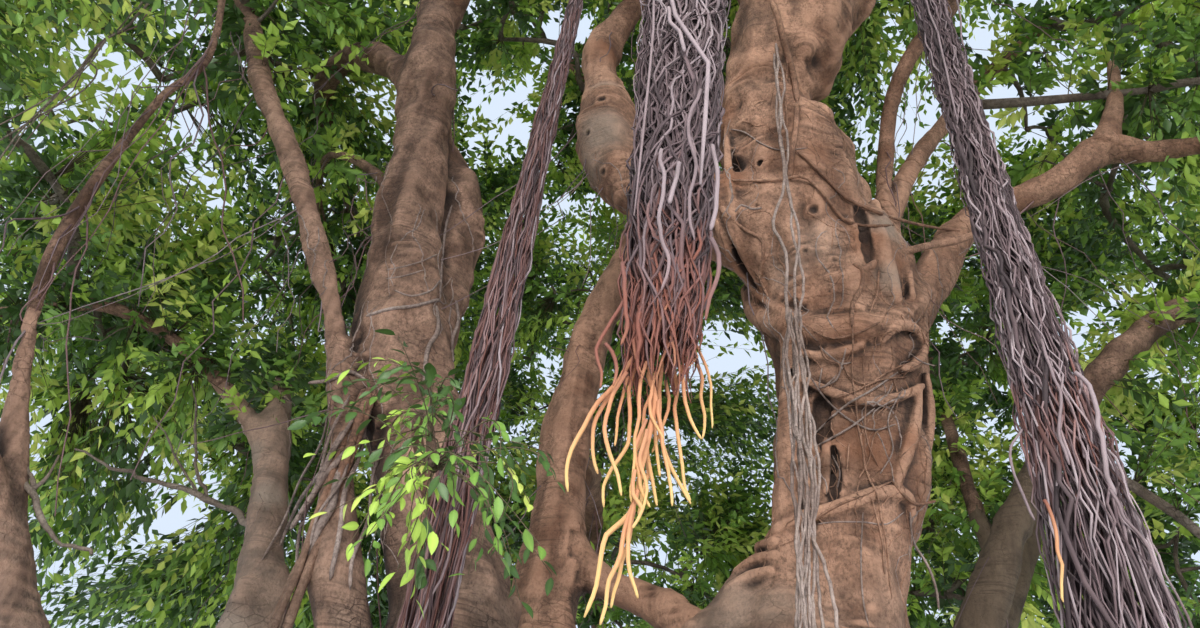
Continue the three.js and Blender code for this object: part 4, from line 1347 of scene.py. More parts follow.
def drawn_roots(name, rows, rings, stands_for, tops=None, finish=ROOT, sway=0.0, sides=6):
    """Roots drawn after the photograph, each row a radius, tone, youth at the start and at the
    tip, depth, and pixels. Those that start at the picture's edge go on up to their bough."""
    paths, values = [], {"tone": [], "young": []}
    for k, (radius, tone, young, tip, depth, pixels) in enumerate(rows):
        spots = in_front(depth, pixels)
        if tops is not None and pixels[0, 1] <= 2:
            spots = np.vstack([tops, spots])
        path = np.column_stack([spots, np.full(len(spots), radius)])
        path = evenly(smooth_path(path, 0.03), rings)
        along = np.linspace(0, 1, rings)
        path[:, :2] += 0.005 * kinks(path[None, :, 2], 300 + k, 1, 0.045)[0][:, None] * [1, -0.7]
        path[:, 0] += sway * wander(path[None, :, 2], 340 + k, 1, 0.9)[0]
        path[:, 3] *= np.where(tip > young, 0.8 - 0.3 * along**3, 0.8)
        path[-1, 3] *= 0.5
        paths.append(path)
        values["tone"].append(np.full(rings, tone))
        values["young"].append(young + (tip - young) * along)
    paths = np.array(paths)
    points, faces = tubes(paths[:, :, :3], paths[:, :, 3], sides)
    values = {key: np.repeat(np.concatenate(v), sides) for key, v in values.items()}
    # with a bark finish, this hollow gives the roots a faint painted highlight all over
    values["hollow"] = 0.43
    piece(name, points, faces, [finish], [stands_for], values=values)


def bare_branches(name, rows, rings, stands_for, finish=BARK_GREY, sides=7):
    """Leafless branches drawn in the same way, which thin from one radius to the other."""
    paths = []
    for k, (thick, thin, depth, pixels) in enumerate(rows):
        radius = np.linspace(thick, thin, len(pixels))
        path = np.column_stack([in_front(depth, pixels), radius])
        path = evenly(smooth_path(path, 0.03), rings)
        path[:, 1:3] += thick * 0.8 * kinks(path[None, :, 0], 400 + k, 1, 0.11)[0][:, None]
        path[:, 3] *= 1 + 0.12 * kinks(path[None, :, 0], 500 + k, 1, 0.06)[0]
        paths.append(path)
    paths = np.array(paths)
    points, faces = tubes(paths[:, :, :3], paths[:, :, 3], sides)
    # a hollow of 0.42 gives these branches a faint painted highlight all over
    piece(name, points, faces, [finish], [stands_for], values={"hollow": 0.42})


def add_curtains():
    curtain("root_curtain_centre", (-0.37, -3.06),
            "2.17,.03 2.6,.07 2.75,.08 2.95,.088 3.4,.105 4.18,.126 5.2,.138 7.5,.11 9.4,.06",
            310, 11, 0.0032, "9.4,.4 4.35,.032 2.6,0", "0,2.6 .2,2.7 .7,2.79 .9,2.9 1,3.1",
            "2.5,.5 2.7,.36 2.85,.27 3,.15 3.2,.04 3.3,0", (0.0125, 0.048), sides=3,
            shade="2.6,.5 3.2,.7 3.8,1 9,.9")
    curtain("root_curtain_right", (0.97, -2.29),
            "1.5,.03 2.1,.13 2.67,.136 3.4,.106 3.85,.09 4.4,.08 5.1,.072 6,.072 7,.062 9,.05",
            216, 31, 0.0035, "9,.4 6.5,.062 2.5,.14 1.5,0", "0,1.5 .3,1.8 .8,2.1 1,2.6",
            "1.4,.4 2.2,0 3,.05 3.25,.26 3.5,0", (0.017, 0.055), (0.34, 1.3), 0.2,
            shade="1.5,1.3 3.3,1.3 4.3,1 5.5,.8", power=1.3)
    curtain("root_curtain_left", (-0.95, -1.435),
            "1.65,.02 2.2,.076 2.74,.086 3.23,.088 4.29,.082 5,.066 5.9,.054 7.1,.042 9.8,.03",
            110, 51, 0.0040, "9.8,.4 7.4,.075 2.5,.16 1.65,0", "0,1.65 .4,2 1,2.8",
            "1.6,.4 2.2,.2 9,.13", (0.012, 0.09), (0.35, 1.4))


# Roots in front of the thick stem: radius, tone, youth at both ends, depth, pixels
FRONT_ROOTS = drawn("""
    .0125,.85,0,0,-.97 773,0 777,60 780,120 783,190 774,228 780,240 785,261 787,285 789,327;
    .0105,.45,0,0,-.95 776,0 781,70 786,140 790,200 799,240 796,270 795,300 796,327;
    .0105,.3,0,0,-.93 770,0 776,70 780,140 789,186 793,210 792,234 798,258 802,288 799,327;
    .0105,.9,0,0,-.99 788,310 791,339 790,368 794,397 796,426 798,455 797,483 799,512 800,541
        801,570 803,599 806,640;
    .0105,.7,0,0,-.96 797,310 799,345 800,374 804,397 806,426 807,455 808,483 809,512 811,530
        814,535 822,556 829,582 835,605 840,640;
    .009,.8,0,0,-.97 797,312 801,350 803,380 808,400 811,430 810,470 812,505 811,532 809,538
        806,559 807,585 810,611 812,640;
    .0105,.75,0,0,-.94 788,315 787,340 785,359 790,385 791,411 793,440 794,480 796,520 797,560
        799,640;
    .009,.4,0,0,-.92 797,318 802,340 806,359 810,376 807,397 813,420 814,446 817,472 817,498
        816,521 818,560 822,640;
    .0078,.95,0,0,-1 790,322 796,360 797,400 801,440 803,480 804,520 803,560 805,600 807,640;
    .0078,.55,0,0,-.98 789,318 793,350 799,385 798,420 802,460 800,500 805,545 809,585 814,640;
    .0078,.25,0,0,-.91 790,310 794,350 797,400 800,450 803,500 806,550 806,600 803,640;
    .009,.35,0,0,-.93 796,320 805,385 809,440 813,480 812,520 815,560 815,600 817,640;
    .0065,.8,0,0,-.99 786,335 783,365 788,400 792,430 797,470 803,500 808,540 806,580 801,620
        799,640;
    .0065,.7,0,0,-.98 800,330 795,360 790,395 796,440 806,470 810,500 805,530 800,560 797,600
        801,640""")
# Loose strands of the centre curtain, and its growing fingers
CENTRE_ROOTS = drawn("""
    .0078,.95,0,0,-3.2 670,0 685,25 700,36 708,42 709,75 710,104 704,130 700,158 699,185;
    .007,.95,0,0,-3.19 668,8 671,22 680,32 683,52;
    .007,.9,0,0,-3.19 679,163 674,182 667,204;
    .0066,.85,0,0,-3.19 713,145 718,170 716,200 711,230;
    .006,.75,0,.1,-3.19 652,0 655,40 650,80 645,120 640,170 636,215;
    .006,.65,0,.1,-3.2 700,90 692,110 688,135 694,160 690,200 694,240;
    .006,.8,0,.15,-3.2 660,150 664,190 658,225 668,255 662,290;
    .0065,.6,.1,.3,-3.18 712,238 721,255 718,275 708,300 706,320;
    .006,.3,.25,.45,-3.14 625,262 622,290 628,320 620,345;
    .005,.2,.3,.45,-3.12 624,300 611,325 598,348 602,372 600,388;
    .005,.2,.3,.5,-3.12 604,344 612,352 617,368 615,385""")
FINGERS = drawn("""
    .0062,.3,.46,1,-3.08 640,352 625,372 618,383 599,402 585,428 572,450 567,472 570,491;
    .0058,.3,.44,.9,-3.06 636,360 620,378 609,394 596,417 590,439 592,457 597,474;
    .0055,.3,.46,1,-3.1 628,372 609,405 605,428 609,454 616,476 620,496;
    .0055,.3,.5,1,-3.05 640,360 627,391 629,420 627,443 612,472 605,487 605,507;
    .005,.3,.5,1,-3.09 646,362 640,398 638,428 635,457 629,487 631,502;
    .0072,.3,.5,1,-3.07 655,340 651,379 655,405 648,435 642,457 638,480 633,502 627,517 607,535
        601,561 596,591 586,617;
    .0058,.3,.6,1,-3.08 633,500 627,517 620,543 616,565 607,591 599,625;
    .0055,.3,.6,1,-3.06 634,500 629,520 627,546 620,576 614,591 610,608;
    .0052,.3,.6,1,-3.09 638,490 633,517 631,546 631,572 638,598;
    .0056,.3,.5,1,-3.04 664,360 661,395 659,431 666,457 677,480 690,504;
    .005,.3,.55,1,-3.08 660,400 662,443 670,472 672,506;
    .0048,.3,.55,1,-3.05 652,400 655,443 657,465 658,477;
    .0052,.3,.5,1,-3.03 676,352 677,398 675,428 679,457 686,487 692,500;
    .005,.3,.5,1,-3.07 684,365 688,402 696,428 701,439;
    .005,.3,.48,1,-3.02 692,340 699,368 701,405 703,428 702,439;
    .004,.3,.5,1,-3.04 686,318 697,340 706,364 711,398 713,428;
    .0052,.3,.5,1,-3.09 645,420 636,457 640,487 651,507;
    .0052,.3,.55,1,-3.05 652,415 646,443 651,480 655,506;
    .005,.3,.55,1,-3.1 646,430 641,465 647,490 644,512;
    .0052,.3,.6,1,-3.04 642,450 648,475 641,495 636,515;
    .005,.3,.6,1,-3.1 636,470 632,495 640,510 634,528;
    .0046,.3,.6,.9,-3.05 650,395 644,420 640,440 633,455;
    .0046,.3,.55,.9,-3.03 668,380 668,410 660,432 654,452;
    .0046,.3,.52,.9,-3.08 656,372 649,402 655,425 661,440;
    .0044,.3,.5,.9,-3.06 630,376 622,400 618,425 614,446""")
EDGE_ROOTS = drawn("""
    .009,.85,0,0,-2.42 1074,372 1090,385 1097,410 1101,440 1106,470 1116,495;
    .0065,.3,.4,1,-2.38 1044,500 1056,530 1059,555 1062,580 1064,602;
    .006,.7,0,0,-2.4 1040,340 1052,372 1060,400 1058,430 1068,465;
    .006,.75,0,0,-2.36 926,0 936,30 944,60 951,92 958,120;
    .0055,.6,0,0,-2.34 945,0 950,28 947,60 954,100;
    .006,.8,0,0,-2.32 958,0 960,30 966,58 964,88 972,118;
    .0055,.65,0,0,-2.44 1110,490 1124,515 1142,540 1160,575 1175,610;
    .005,.65,0,0,-2.4 1020,430 1012,450 1014,475 1024,495 1036,520""")


add_curtains()
drawn_roots("roots_in_front", FRONT_ROOTS, 60, "root_strands_front", [(0.55, -0.93, 8.6)], STRAND,
            0.013)
drawn_roots("roots_centre_loose", CENTRE_ROOTS, 26, "root_curtain_centre",
            [(-0.42, -3.12, 9.3), (-0.45, -3.18, 6.5)])
drawn_roots("roots_centre_fingers", FINGERS, 34, "root_curtain_centre")
drawn_roots("roots_right_loose", EDGE_ROOTS, 24, "root_curtain_right", [(0.99, -2.31, 8.95)])
bare_branches("branches_bare_edge", BARE_EDGE, 22, "stem_edge")
bare_branches("branches_bare_grey", BARE_GREY, 24, "stem_grey")
bare_branches("branch_bare_right", BARE_RIGHT, 26, "stem_right", BARK)
bare_branches("branches_bare_top", BARE_TOP, 26, "stem_edge")

# %% [markdown]
# Single young roots and bare twigs also hang and loop between the boughs everywhere. Each is a thin
# tube that leaves a bough at a seeded place, sags below the straight line to where it ends, and
# sways a little. Some end in the air, some have grown onto a limb further down.

# %% Loose roots between the boughs
VINES, VINE_RINGS = 240, 12
VINE_BOUGHS = ["elbow", "pale", "fork", "sawn", "low_right", "back_low", "back_rise",
               "left_knuckle", "left_pale", "low_left", "far_rise"]
VINE_STEMS = ["slim", "grey", "edge", "back", "left"]


def nearest(points, targets):
    """For each point the nearest of the targets, a few hundred points at a time."""
    found = []
    for part in np.array_split(points, max(1, len(points) // 400)):
        apart = ((part[:, None] - targets[None]) ** 2).sum(2)
        found.append(targets[apart.argmin(1)])
    return np.concatenate(found)


def add_vines():
    rng = np.random.default_rng(77)
    held = np.concatenate([limb_path("bough_" + name, 0.1)[5:, :3] for name in VINE_BOUGHS]
                          + [limb_path("stem_" + name, 0.1)[:, :3] for name in VINE_STEMS])
    held = held[held[:, 2] > 4.2]
    px, py, _ = in_photo(held)
    held = held[(px > -80) & (px < 1280) & (py > -150) & (py < 600)]
    start = held[rng.choice(len(held), VINES)]
    drop = rng.normal(0, 0.45, (VINES, 3)) - [0, 0, 1] * rng.uniform(0.5, 2.2, (VINES, 1))
    end = start + drop
    tied = rng.uniform(size=VINES) < 0.4
    end[tied] = nearest(end[tied], held)
    t = np.linspace(0, 1, VINE_RINGS)[None, :, None]
    path = start[:, None] + (end - start)[:, None] * t
    sag = 0.30 * rng.uniform(0.2, 1, (VINES, 1, 1)) * 4 * t * (1 - t)
    path[..., 2:] -= sag * tied[:, None, None]
    swing = np.sin(math.pi * t[..., 0]) ** 0.5
    for k in (0, 1):
        path[..., k] += 0.05 * wander(path[..., 2], 78 + k, VINES, 0.9) * swing
    radius = rng.uniform(0.0035, 0.0075, (VINES, 1)) * np.linspace(1, 0.5, VINE_RINGS)
    points, faces = tubes(path, radius, 4)
    tone, young = rng.uniform(0.25, 0.9, VINES), rng.uniform(0, 0.2, VINES)
    values = {"tone": np.repeat(tone, VINE_RINGS * 4), "young": np.repeat(young, VINE_RINGS * 4)}
    piece("roots_loose", points, faces, [ROOT], ["stem_left"], values=values)


add_vines()

# %% [markdown]
# ## The pillar root
# A root that has reached the ground thickens into a leg. This one came down beside the left stem
# as a few roots that have fused at the foot and still run apart higher up.

# %% Pillar root
def add_pillar(strands=5):
    """Roots round a line that leans from its top to its foot, thicker towards the foot."""
    rng = np.random.default_rng(91)
    rows = np.array([(4.35, 0.044), (3.43, 0.040), (2.30, 0.046), (0.90, 0.062), (0.02, 0.095)])
    z = np.linspace(4.5, 0.0, 60)[None] + np.zeros((strands, 1))
    share = (4.35 - z) / 4.33
    bundle = np.interp(z, rows[::-1, 0], rows[::-1, 1])
    angle = TURN * np.arange(strands)[:, None] / strands + 0.8 * wander(z, 92, strands, 2.5)
    x = -1.76 - 0.02 * share + 0.75 * bundle * np.cos(angle) + 0.006 * kinks(z, 93, strands, 0.15)
    y = -0.25 - 0.27 * share + 0.75 * bundle * np.sin(angle) + 0.006 * kinks(z, 94, strands, 0.15)
    radius = bundle * rng.uniform(0.4, 0.6, (strands, 1)) * (1 + 0.1 * wander(z, 95, strands, 0.4))
    points, faces = tubes(np.stack([x, y, z], axis=2), radius, 9)
    points[..., 2] = np.maximum(points[..., 2], 0)
    # a hollow of 0.45 gives the pillar a very faint painted highlight all over
    piece("root_pillar_left", points, faces, [BARK], ["root_pillar_left"],
          values={"hollow": 0.45})


add_pillar()

# %% [markdown]
# ## The crown
# Twenty-three leaf masses stand for the crown in the CAD part. Here each becomes what it really
# is: the end of a bough that forks into branches, these into twigs, and each twig with its leaves.
# The fork rule is simple and seeded. Points are strewn through the mass, more of them near its
# surface. From the bough outwards each point is joined by a branch to the nearest wood that is
# already there, and a branch is as thick as the number of points that it feeds asks for.
# Twigs are dealt out in the same way, and a spray of leaves grows round each.

# %% Crown masses
# Each leaf mass and the limb that carries it
CARRIER = dict(pair.split() for pair in """
    leaf_low_1 bough_back_low; leaf_low_2 stem_far; leaf_low_3 bough_low_right;
    leaf_low_4 bough_elbow; leaf_low_5 bough_front_low_right; leaf_low_6 bough_front_low_left;
    leaf_low_7 bough_left_front; leaf_low_8 bough_low_left; leaf_low_9 stem_grey;
    leaf_mid_1 bough_back_rise; leaf_mid_2 bough_far_rise; leaf_mid_3 bough_fork;
    leaf_mid_4 bough_front_right; leaf_mid_5 bough_front; leaf_mid_6 bough_front_left;
    leaf_mid_7 stem_slim; leaf_mid_8 bough_left_knuckle; leaf_cap bough_up_centre;
    leaf_top_1 bough_up_back; leaf_top_2 bough_pale; leaf_top_3 bough_up_front;
    leaf_top_4 stem_left; leaf_top_5 stem_back""".split(";"))
# Patches of sky in the photograph: pixel, and radius in pixels
SKY_GAPS = table("""
    730,365,34 755,352,24 700,380,24 480,88,22 500,108,16 160,480,26 190,150,20 225,121,16
    215,195,16 79,87,13 133,467,22 175,525,22 50,362,15 29,441,16 912,160,16 1060,330,12
    1180,340,14 560,18,16 1015,20,12 350,610,12 100,500,20 60,470,14 215,540,16 960,25,16 925,60,12
    985,90,12 505,150,12 200,120,12 120,60,10 1130,345,14""")


def in_gap(points):
    """Which points lie in front of a patch of sky, seen from the camera."""
    px, py, depth = in_photo(points)
    inside = np.zeros(len(points), bool)
    for x, y, radius in SKY_GAPS:
        inside |= np.hypot(px - x, py - y) < radius
    return inside & (depth > 3)


# Places of the photograph where the crown is thin and bright: pixel, and radius in pixels
OPEN_PLACES = table("""
    110,470,110 190,520,90 40,450,80 210,150,70 100,90,90 510,110,70 560,30,60 920,70,100 985,30,80
    1000,110,70 1110,60,50 930,150,60 735,370,90 690,450,60 1060,330,60 1040,450,60 1130,340,60
    405,100,50 640,560,50 340,110,90 590,240,70 550,370,35 1050,100,60""")
THINNING = 0.82  # the share of the sprays that is left out at the middle of such a place


def openness(px, py):
    """How thin the crown is at pixels: 1 at the middle of an open place, 0 outside them all."""
    shares = [np.clip(1.5 * (1 - np.hypot(px - x, py - y) / radius), 0, 1)
              for x, y, radius in OPEN_PLACES]
    return np.max(shares, axis=0)


def strewn(node, count, rng, low_share, high_share=0.97):
    """Points inside a mass: points spread evenly over its surface, each drawn in towards the
    middle by a seeded share."""
    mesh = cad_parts[node].data
    mesh.calc_loop_triangles()
    corner = np.zeros((len(mesh.vertices), 3), np.float32)
    mesh.vertices.foreach_get("co", corner.reshape(-1))
    face = np.zeros((len(mesh.loop_triangles), 3), np.int32)
    mesh.loop_triangles.foreach_get("vertices", face.reshape(-1))
    a, b, c = (corner[face[:, k]] for k in range(3))
    size = np.linalg.norm(np.cross(b - a, c - a), axis=1)
    pick = rng.choice(len(size), count, p=size / size.sum())
    u, v = rng.uniform(size=(2, count, 1))
    u, v = np.where(u + v > 1, 1 - u, u), np.where(u + v > 1, 1 - v, v)
    surface = a[pick] + u * (b - a)[pick] + v * (c - a)[pick]
    middle = (corner.min(0) + corner.max(0)) / 2
    share = low_share + (high_share - low_share) * np.sqrt(rng.uniform(size=(count, 1)))
    return middle + (surface - middle) * share, middle


BRANCH_RINGS = 6
ENTRY = 2.6  # metres of bough, past its place next to a mass, from which branches may spring
DETOUR = 0.12  # what a metre of way along the branches counts against a metre of new branch
THIN, PER_FED, THICKEST = 0.011, 0.0105, 0.09  # radii at the foot of a branch


def grow(node, rng, forks=64):
    """Branches of a mass: for each strewn point, nearest to the bough first, a curve from the
    nearest wood to the point, which leaves in the wood's direction and bends up at its end."""
    bough = limb_path(CARRIER[node], 0.25)[:, :3]
    goals, middle = strewn(node, forks, rng, 0.35)
    apart = np.linalg.norm(bough - middle, axis=1)
    entry = bough[apart < apart.min() + ENTRY]
    goals = goals[np.argsort(np.linalg.norm(goals - entry[0], axis=1))]
    held = [(spot, -1, 0, 0.0) for spot in entry]  # place, branch, ring, way along the branches
    paths, parents, joints = [], [], []
    for k, goal in enumerate(goals):
        places, ways = np.array([row[0] for row in held]), np.array([row[3] for row in held])
        cheapest = np.argmin(np.linalg.norm(places - goal, axis=1) + DETOUR * ways)
        start, parent, joint, way = held[cheapest]
        run = goal - start
        long = np.linalg.norm(run)
        bend = rng.normal(size=3) * 0.10 * long + np.array([0, 0, 0.10 * long])
        t = np.linspace(0, 1, BRANCH_RINGS)[:, None]
        curve = start + run * t + bend * 4 * t * (1 - t) * (1 - 0.4 * t)
        paths.append(curve)
        parents.append(parent)
        joints.append(joint)
        held += [(curve[i], k, i, way + long * i / BRANCH_RINGS) for i in range(2, BRANCH_RINGS)]
    fed = np.ones(len(paths))
    for k in range(len(paths) - 1, -1, -1):
        if parents[k] >= 0:
            fed[parents[k]] += fed[k]
    foot = np.minimum(THIN + PER_FED * np.sqrt(fed), THICKEST)
    radius = foot[:, None] * np.linspace(1, 0.5, BRANCH_RINGS)
    kept, paths = pruned(np.array(paths), parents, joints)
    paths, radius = paths[kept], radius[kept]
    return paths, radius, np.concatenate([entry, paths[:, 2:].reshape(-1, 3)])


def bared(paths):
    """Which branches would stand bare in front of the sky: those whose outer half crosses a gap
    or an open place of the view."""
    outer = paths[:, BRANCH_RINGS // 2 :].reshape(-1, 3)
    px, py, depth = in_photo(outer)
    bare = in_gap(outer) | ((openness(px, py) > 0.55) & (depth > 1))
    return bare.reshape(len(paths), -1).any(axis=1)


def pruned(paths, parents, joints):
    """Which branches stay, and their paths. A bare branch goes, unless it carries one that
    stays: then it ends where that one leaves it. One that crosses a gap goes with all on it."""
    bare = bared(paths)
    gone = in_gap(paths[:, 1:].reshape(-1, 3)).reshape(len(paths), -1).any(axis=1)
    for k, parent in enumerate(parents):
        gone[k] |= parent >= 0 and gone[parent]
    kept = ~(bare | gone)
    last = np.where(bare, 0, BRANCH_RINGS - 1)
    for k in range(len(paths) - 1, -1, -1):
        if kept[k] and parents[k] >= 0:
            kept[parents[k]] = True
            last[parents[k]] = max(last[parents[k]], joints[k])
    rings = np.arange(BRANCH_RINGS)
    for k in np.flatnonzero(kept & (last < BRANCH_RINGS - 1)):
        spots = np.linspace(0, last[k], BRANCH_RINGS)
        paths[k] = np.stack([np.interp(spots, rings, column) for column in paths[k].T], axis=1)
    return kept, paths

# %% [markdown]
# A leaf is a flat blade with a midrib fold, drawn in its own outline: pointed at both ends and
# widest below the middle. Near the camera it has four faces, further off two. There would be some
# hundred thousand leaves on such a tree, so each is made somewhat larger than life, and there are
# fewer. Colour is dealt out by spray: dark old leaves with painted shade, middle ones, light ones
# with painted sunlight shining through, and the yellow-green of new shoots.

# %% Leaf finishes
def leaf_finish(name, green, light, gloss):
    """A leaf's green with patches of a lighter one, lighter near the midrib, and a faint bump."""
    finish = Finish(name, gloss)
    patches = finish.noise(1.7, 2).between(0.35, 0.68)
    spots = finish.noise(28, 3).between(0.35, 0.75)
    rib = finish.worn("rib")
    colour = finish.mix(patches * 0.6 + spots * 0.4, green, light)
    colour = finish.mix(rib * 0.35, colour, [min(1, c * 1.7) for c in light])
    return finish.wear(colour, finish.noise(90, 2), 0.0012)


# The dark finish is painted shade, the light one painted sunlight shining through the leaf
LEAF = [leaf_finish("leaf_dark_painted_shade", (0.033, 0.075, 0.019), (0.070, 0.146, 0.031), 0.42),
        leaf_finish("leaf_middle", (0.112, 0.228, 0.042), (0.200, 0.355, 0.056), 0.45),
        leaf_finish("leaf_painted_sunlight", (0.310, 0.490, 0.068), (0.430, 0.610, 0.100), 0.50),
        leaf_finish("leaf_young", (0.480, 0.630, 0.105), (0.610, 0.740, 0.160), 0.50)]

# %% Leaves
LEAF_LONG, LEAF_WIDE = 0.145, 0.066


def blades(foot, way, face, long, wide, fine):
    """Leaves in one array: points along the blade's edge, each the foot plus shares of the
    length along the leaf and of the width to its side, sunk or raised across the blade. The fine
    outline has six points and four faces, the plain one four points and two faces."""
    side = unit(np.cross(face, way), 1e-9)
    face = np.cross(way, side)
    if fine:
        outline = [(0, 0, 0), (0.28, -0.46, 0.10), (0.68, -0.34, 0.08), (1, 0, -0.16),
                   (0.68, 0.34, 0.08), (0.28, 0.46, 0.10)]
        pattern = [(0, 1, 5), (1, 2, 5), (2, 4, 5), (2, 3, 4)]
    else:
        outline = [(0, 0, 0), (0.42, -0.5, 0.09), (1, 0, -0.12), (0.42, 0.5, 0.09)]
        pattern = [(0, 1, 2), (0, 2, 3)]
    shape = np.array(outline)
    points = (foot[:, None] + shape[None, :, 0, None] * (way * long[:, None])[:, None]
              + shape[None, :, 1, None] * (side * wide[:, None])[:, None]
              + shape[None, :, 2, None] * (face * wide[:, None])[:, None])
    first = np.arange(len(foot))[:, None, None] * len(outline)
    faces = first + np.array(pattern)[None]
    rib = np.tile((np.abs(shape[:, 1]) < 0.01).astype(float), len(foot))
    return points.reshape(-1, 3), faces.reshape(-1, 3), rib


def spray_leaves(base, tip, rng, per_spray, long=LEAF_LONG, wide=LEAF_WIDE, droop=0.35):
    """Where the leaves of each twig sit and point: spaced along its outer part, each turned on
    from the last by the golden angle, pointing forwards and drooping a little."""
    axis = unit(tip - base, 1e-9)
    helper = np.where(np.abs(axis[:, 2:]) < 0.85, [[0, 0, 1.0]], [[1.0, 0, 0]])
    side = unit(np.cross(axis, helper))
    up = np.cross(side, axis)
    count = len(base)
    k = np.arange(per_spray)
    t = 0.28 + 0.72 * (k + rng.uniform(0, 1, (count, per_spray))) / per_spray
    turn = 2.4 * k + rng.uniform(0, TURN, (count, 1)) + rng.normal(0, 0.3, (count, per_spray))
    foot = base[:, None] + (tip - base)[:, None] * t[..., None]
    way = (0.75 * axis[:, None] + np.cos(turn)[..., None] * side[:, None]
           + 0.7 * np.sin(turn)[..., None] * up[:, None])
    way = unit(way + (rng.normal(0, 0.18, way.shape) - np.array([0, 0, droop])))
    face = np.array([0, 0, 1.0]) + rng.normal(0, 0.38, way.shape)
    size = rng.uniform(0.72, 1.18, (count, per_spray)) * (1 - 0.25 * (t > 0.93))
    return (foot.reshape(-1, 3), way.reshape(-1, 3), face.reshape(-1, 3),
            (long * size).ravel(), (wide * size).ravel())


def spikes(base, tip, radius):
    """Twigs as slim closed spikes: three points round the base, one at the tip."""
    path = np.stack([base, tip], axis=1)
    _, across, up = frames(path)
    angle = TURN * np.arange(3) / 3
    ring = (np.cos(angle)[:, None] * across[:, None, 0] + np.sin(angle)[:, None] * up[:, None, 0])
    points = np.concatenate([base[:, None] + radius * ring, tip[:, None]], axis=1).reshape(-1, 3)
    first = np.arange(len(base))[:, None, None] * 4
    faces = first + np.array([(0, 1, 3), (1, 2, 3), (2, 0, 3), (2, 1, 0)])[None]
    return points, faces.reshape(-1, 3)


class Store:
    """Gathers points and faces of one kind from several masses, to be made one piece."""

    def __init__(self):
        self.points, self.faces, self.finish, self.values, self.size = [], [], [], [], 0

    def put(self, points, faces, finish_of=0, values=0.5):
        self.points.append(points)
        self.faces.append(faces + self.size)
        self.finish.append(np.broadcast_to(finish_of, len(faces)))
        self.values.append(np.broadcast_to(values, len(points)))
        self.size += len(points)

    def make(self, name, finishes, stands_for, slot, key):
        piece(name, np.concatenate(self.points), [np.concatenate(self.faces)], finishes,
              stands_for, np.concatenate(self.finish), {key: np.concatenate(self.values)})

# %% Crown
PER_SPRAY = 12
SPRAYS, SPRAYS_MORE = 740, 9000  # sprays of every mass, and how many more are tried in the view
CELL, LEAVES_DEEP = 24, 5.2  # a cell of the view in pixels, and how many leaves deep it gets
LEAF_FACE = 0.0032  # square metres of a leaf as it is seen on average
MASSES = list(CARRIER)
GROUPS = [MASSES[first : first + 3] for first in range(0, len(MASSES), 3)]


def leaf_colours(middle, mass_middle, rng):
    """Which finish each spray has: a seeded number plus smooth noise in space, so that light sprays
    lie together, more where the crown is thin and higher in each mass, cut at three levels. The
    darkest finish is painted shade, the light finish painted sunlight."""
    light = rng.uniform(0, 1, len(middle)) + 0.22 * ripples(middle, 1.6, 201)
    # painted light: sprays higher in the mass are lighter
    light += 0.10 * (middle[:, 2] - mass_middle[2])
    px, py, depth = in_photo(middle)
    # painted light: more of it where the crown is thin
    light += 0.28 * openness(px, py) * (depth > 1)
    return np.searchsorted([0.30, 0.63, 0.92], light)


class View:
    """How many leaves deep each cell of the photograph's view is covered so far."""

    def __init__(self):
        self.wide, self.tall = PHOTO[0] // CELL + 1, PHOTO[1] // CELL + 1
        self.covered = np.zeros(self.wide * self.tall)
        row, column = np.divmod(np.arange(self.wide * self.tall), self.wide)
        thin = openness((column + 0.5) * CELL, (row + 0.5) * CELL)
        self.deep = LEAVES_DEEP * (1 - THINNING * thin)

    def cells(self, spots):
        """The cell that each spray falls in, -1 outside the view, and how deep it covers it."""
        px, py, depth = in_photo(spots)
        inside = (px > 0) & (px < PHOTO[0]) & (py > 0) & (py < PHOTO[1]) & (depth > 1)
        cell = np.where(inside, (py // CELL) * self.wide + px // CELL, -1).astype(int)
        face = LEAF_FACE * leaf_scale(spots) ** 2
        return cell, PER_SPRAY * face * (FOCAL / np.maximum(depth, 1)) ** 2 / CELL**2

    def wanted(self, spots):
        """Which of more sprays are wanted: in the order given, until their cell is covered."""
        cell, deep = self.cells(spots)
        order = np.argsort(cell, kind="stable")
        before = np.cumsum(deep[order]) - deep[order]
        first = np.searchsorted(cell[order], cell[order])
        so_far = np.empty(len(spots))
        so_far[order] = before - before[first]
        return (cell >= 0) & (self.covered[cell] + so_far < self.deep[cell])

    def cover(self, spots):
        cell, deep = self.cells(spots)
        np.add.at(self.covered, cell[cell >= 0], deep[cell >= 0])


# Sprays stay so far inside the CAD part's own box that no leaf sticks out of it
BOX_LOW, BOX_HIGH = np.array(CAD_BOX[0]) + 0.3, np.array(CAD_BOX[1]) - 0.3
# Boughs that carry sprays of their own, and how many
LEAFY = [("bough_low_left", 70), ("bough_left_pale", 30), ("bough_far_rise", 40)]
TWIG_LEAST, TWIG_THICK = 0.25, 0.0055  # the least length of a twig, and the radius of its foot
NEAR = 5.0  # metres from the camera up to which leaves get the fine outline


def leafy_limb(path, count, rng):
    """Short twigs that stand off a bare limb: where they spring from it, and their tips."""
    path = path[4:, :3]
    base = path[rng.choice(len(path), count)]
    return base, base + rng.normal(0, 0.2, (count, 3)) + [0, -0.06, 0.04]


def leaf_scale(spots):
    """How large leaves are: as large as life near the camera, larger further off."""
    return np.interp(np.linalg.norm(spots - EYE, axis=1), [3.5, 9.0], [0.58, 1.0])


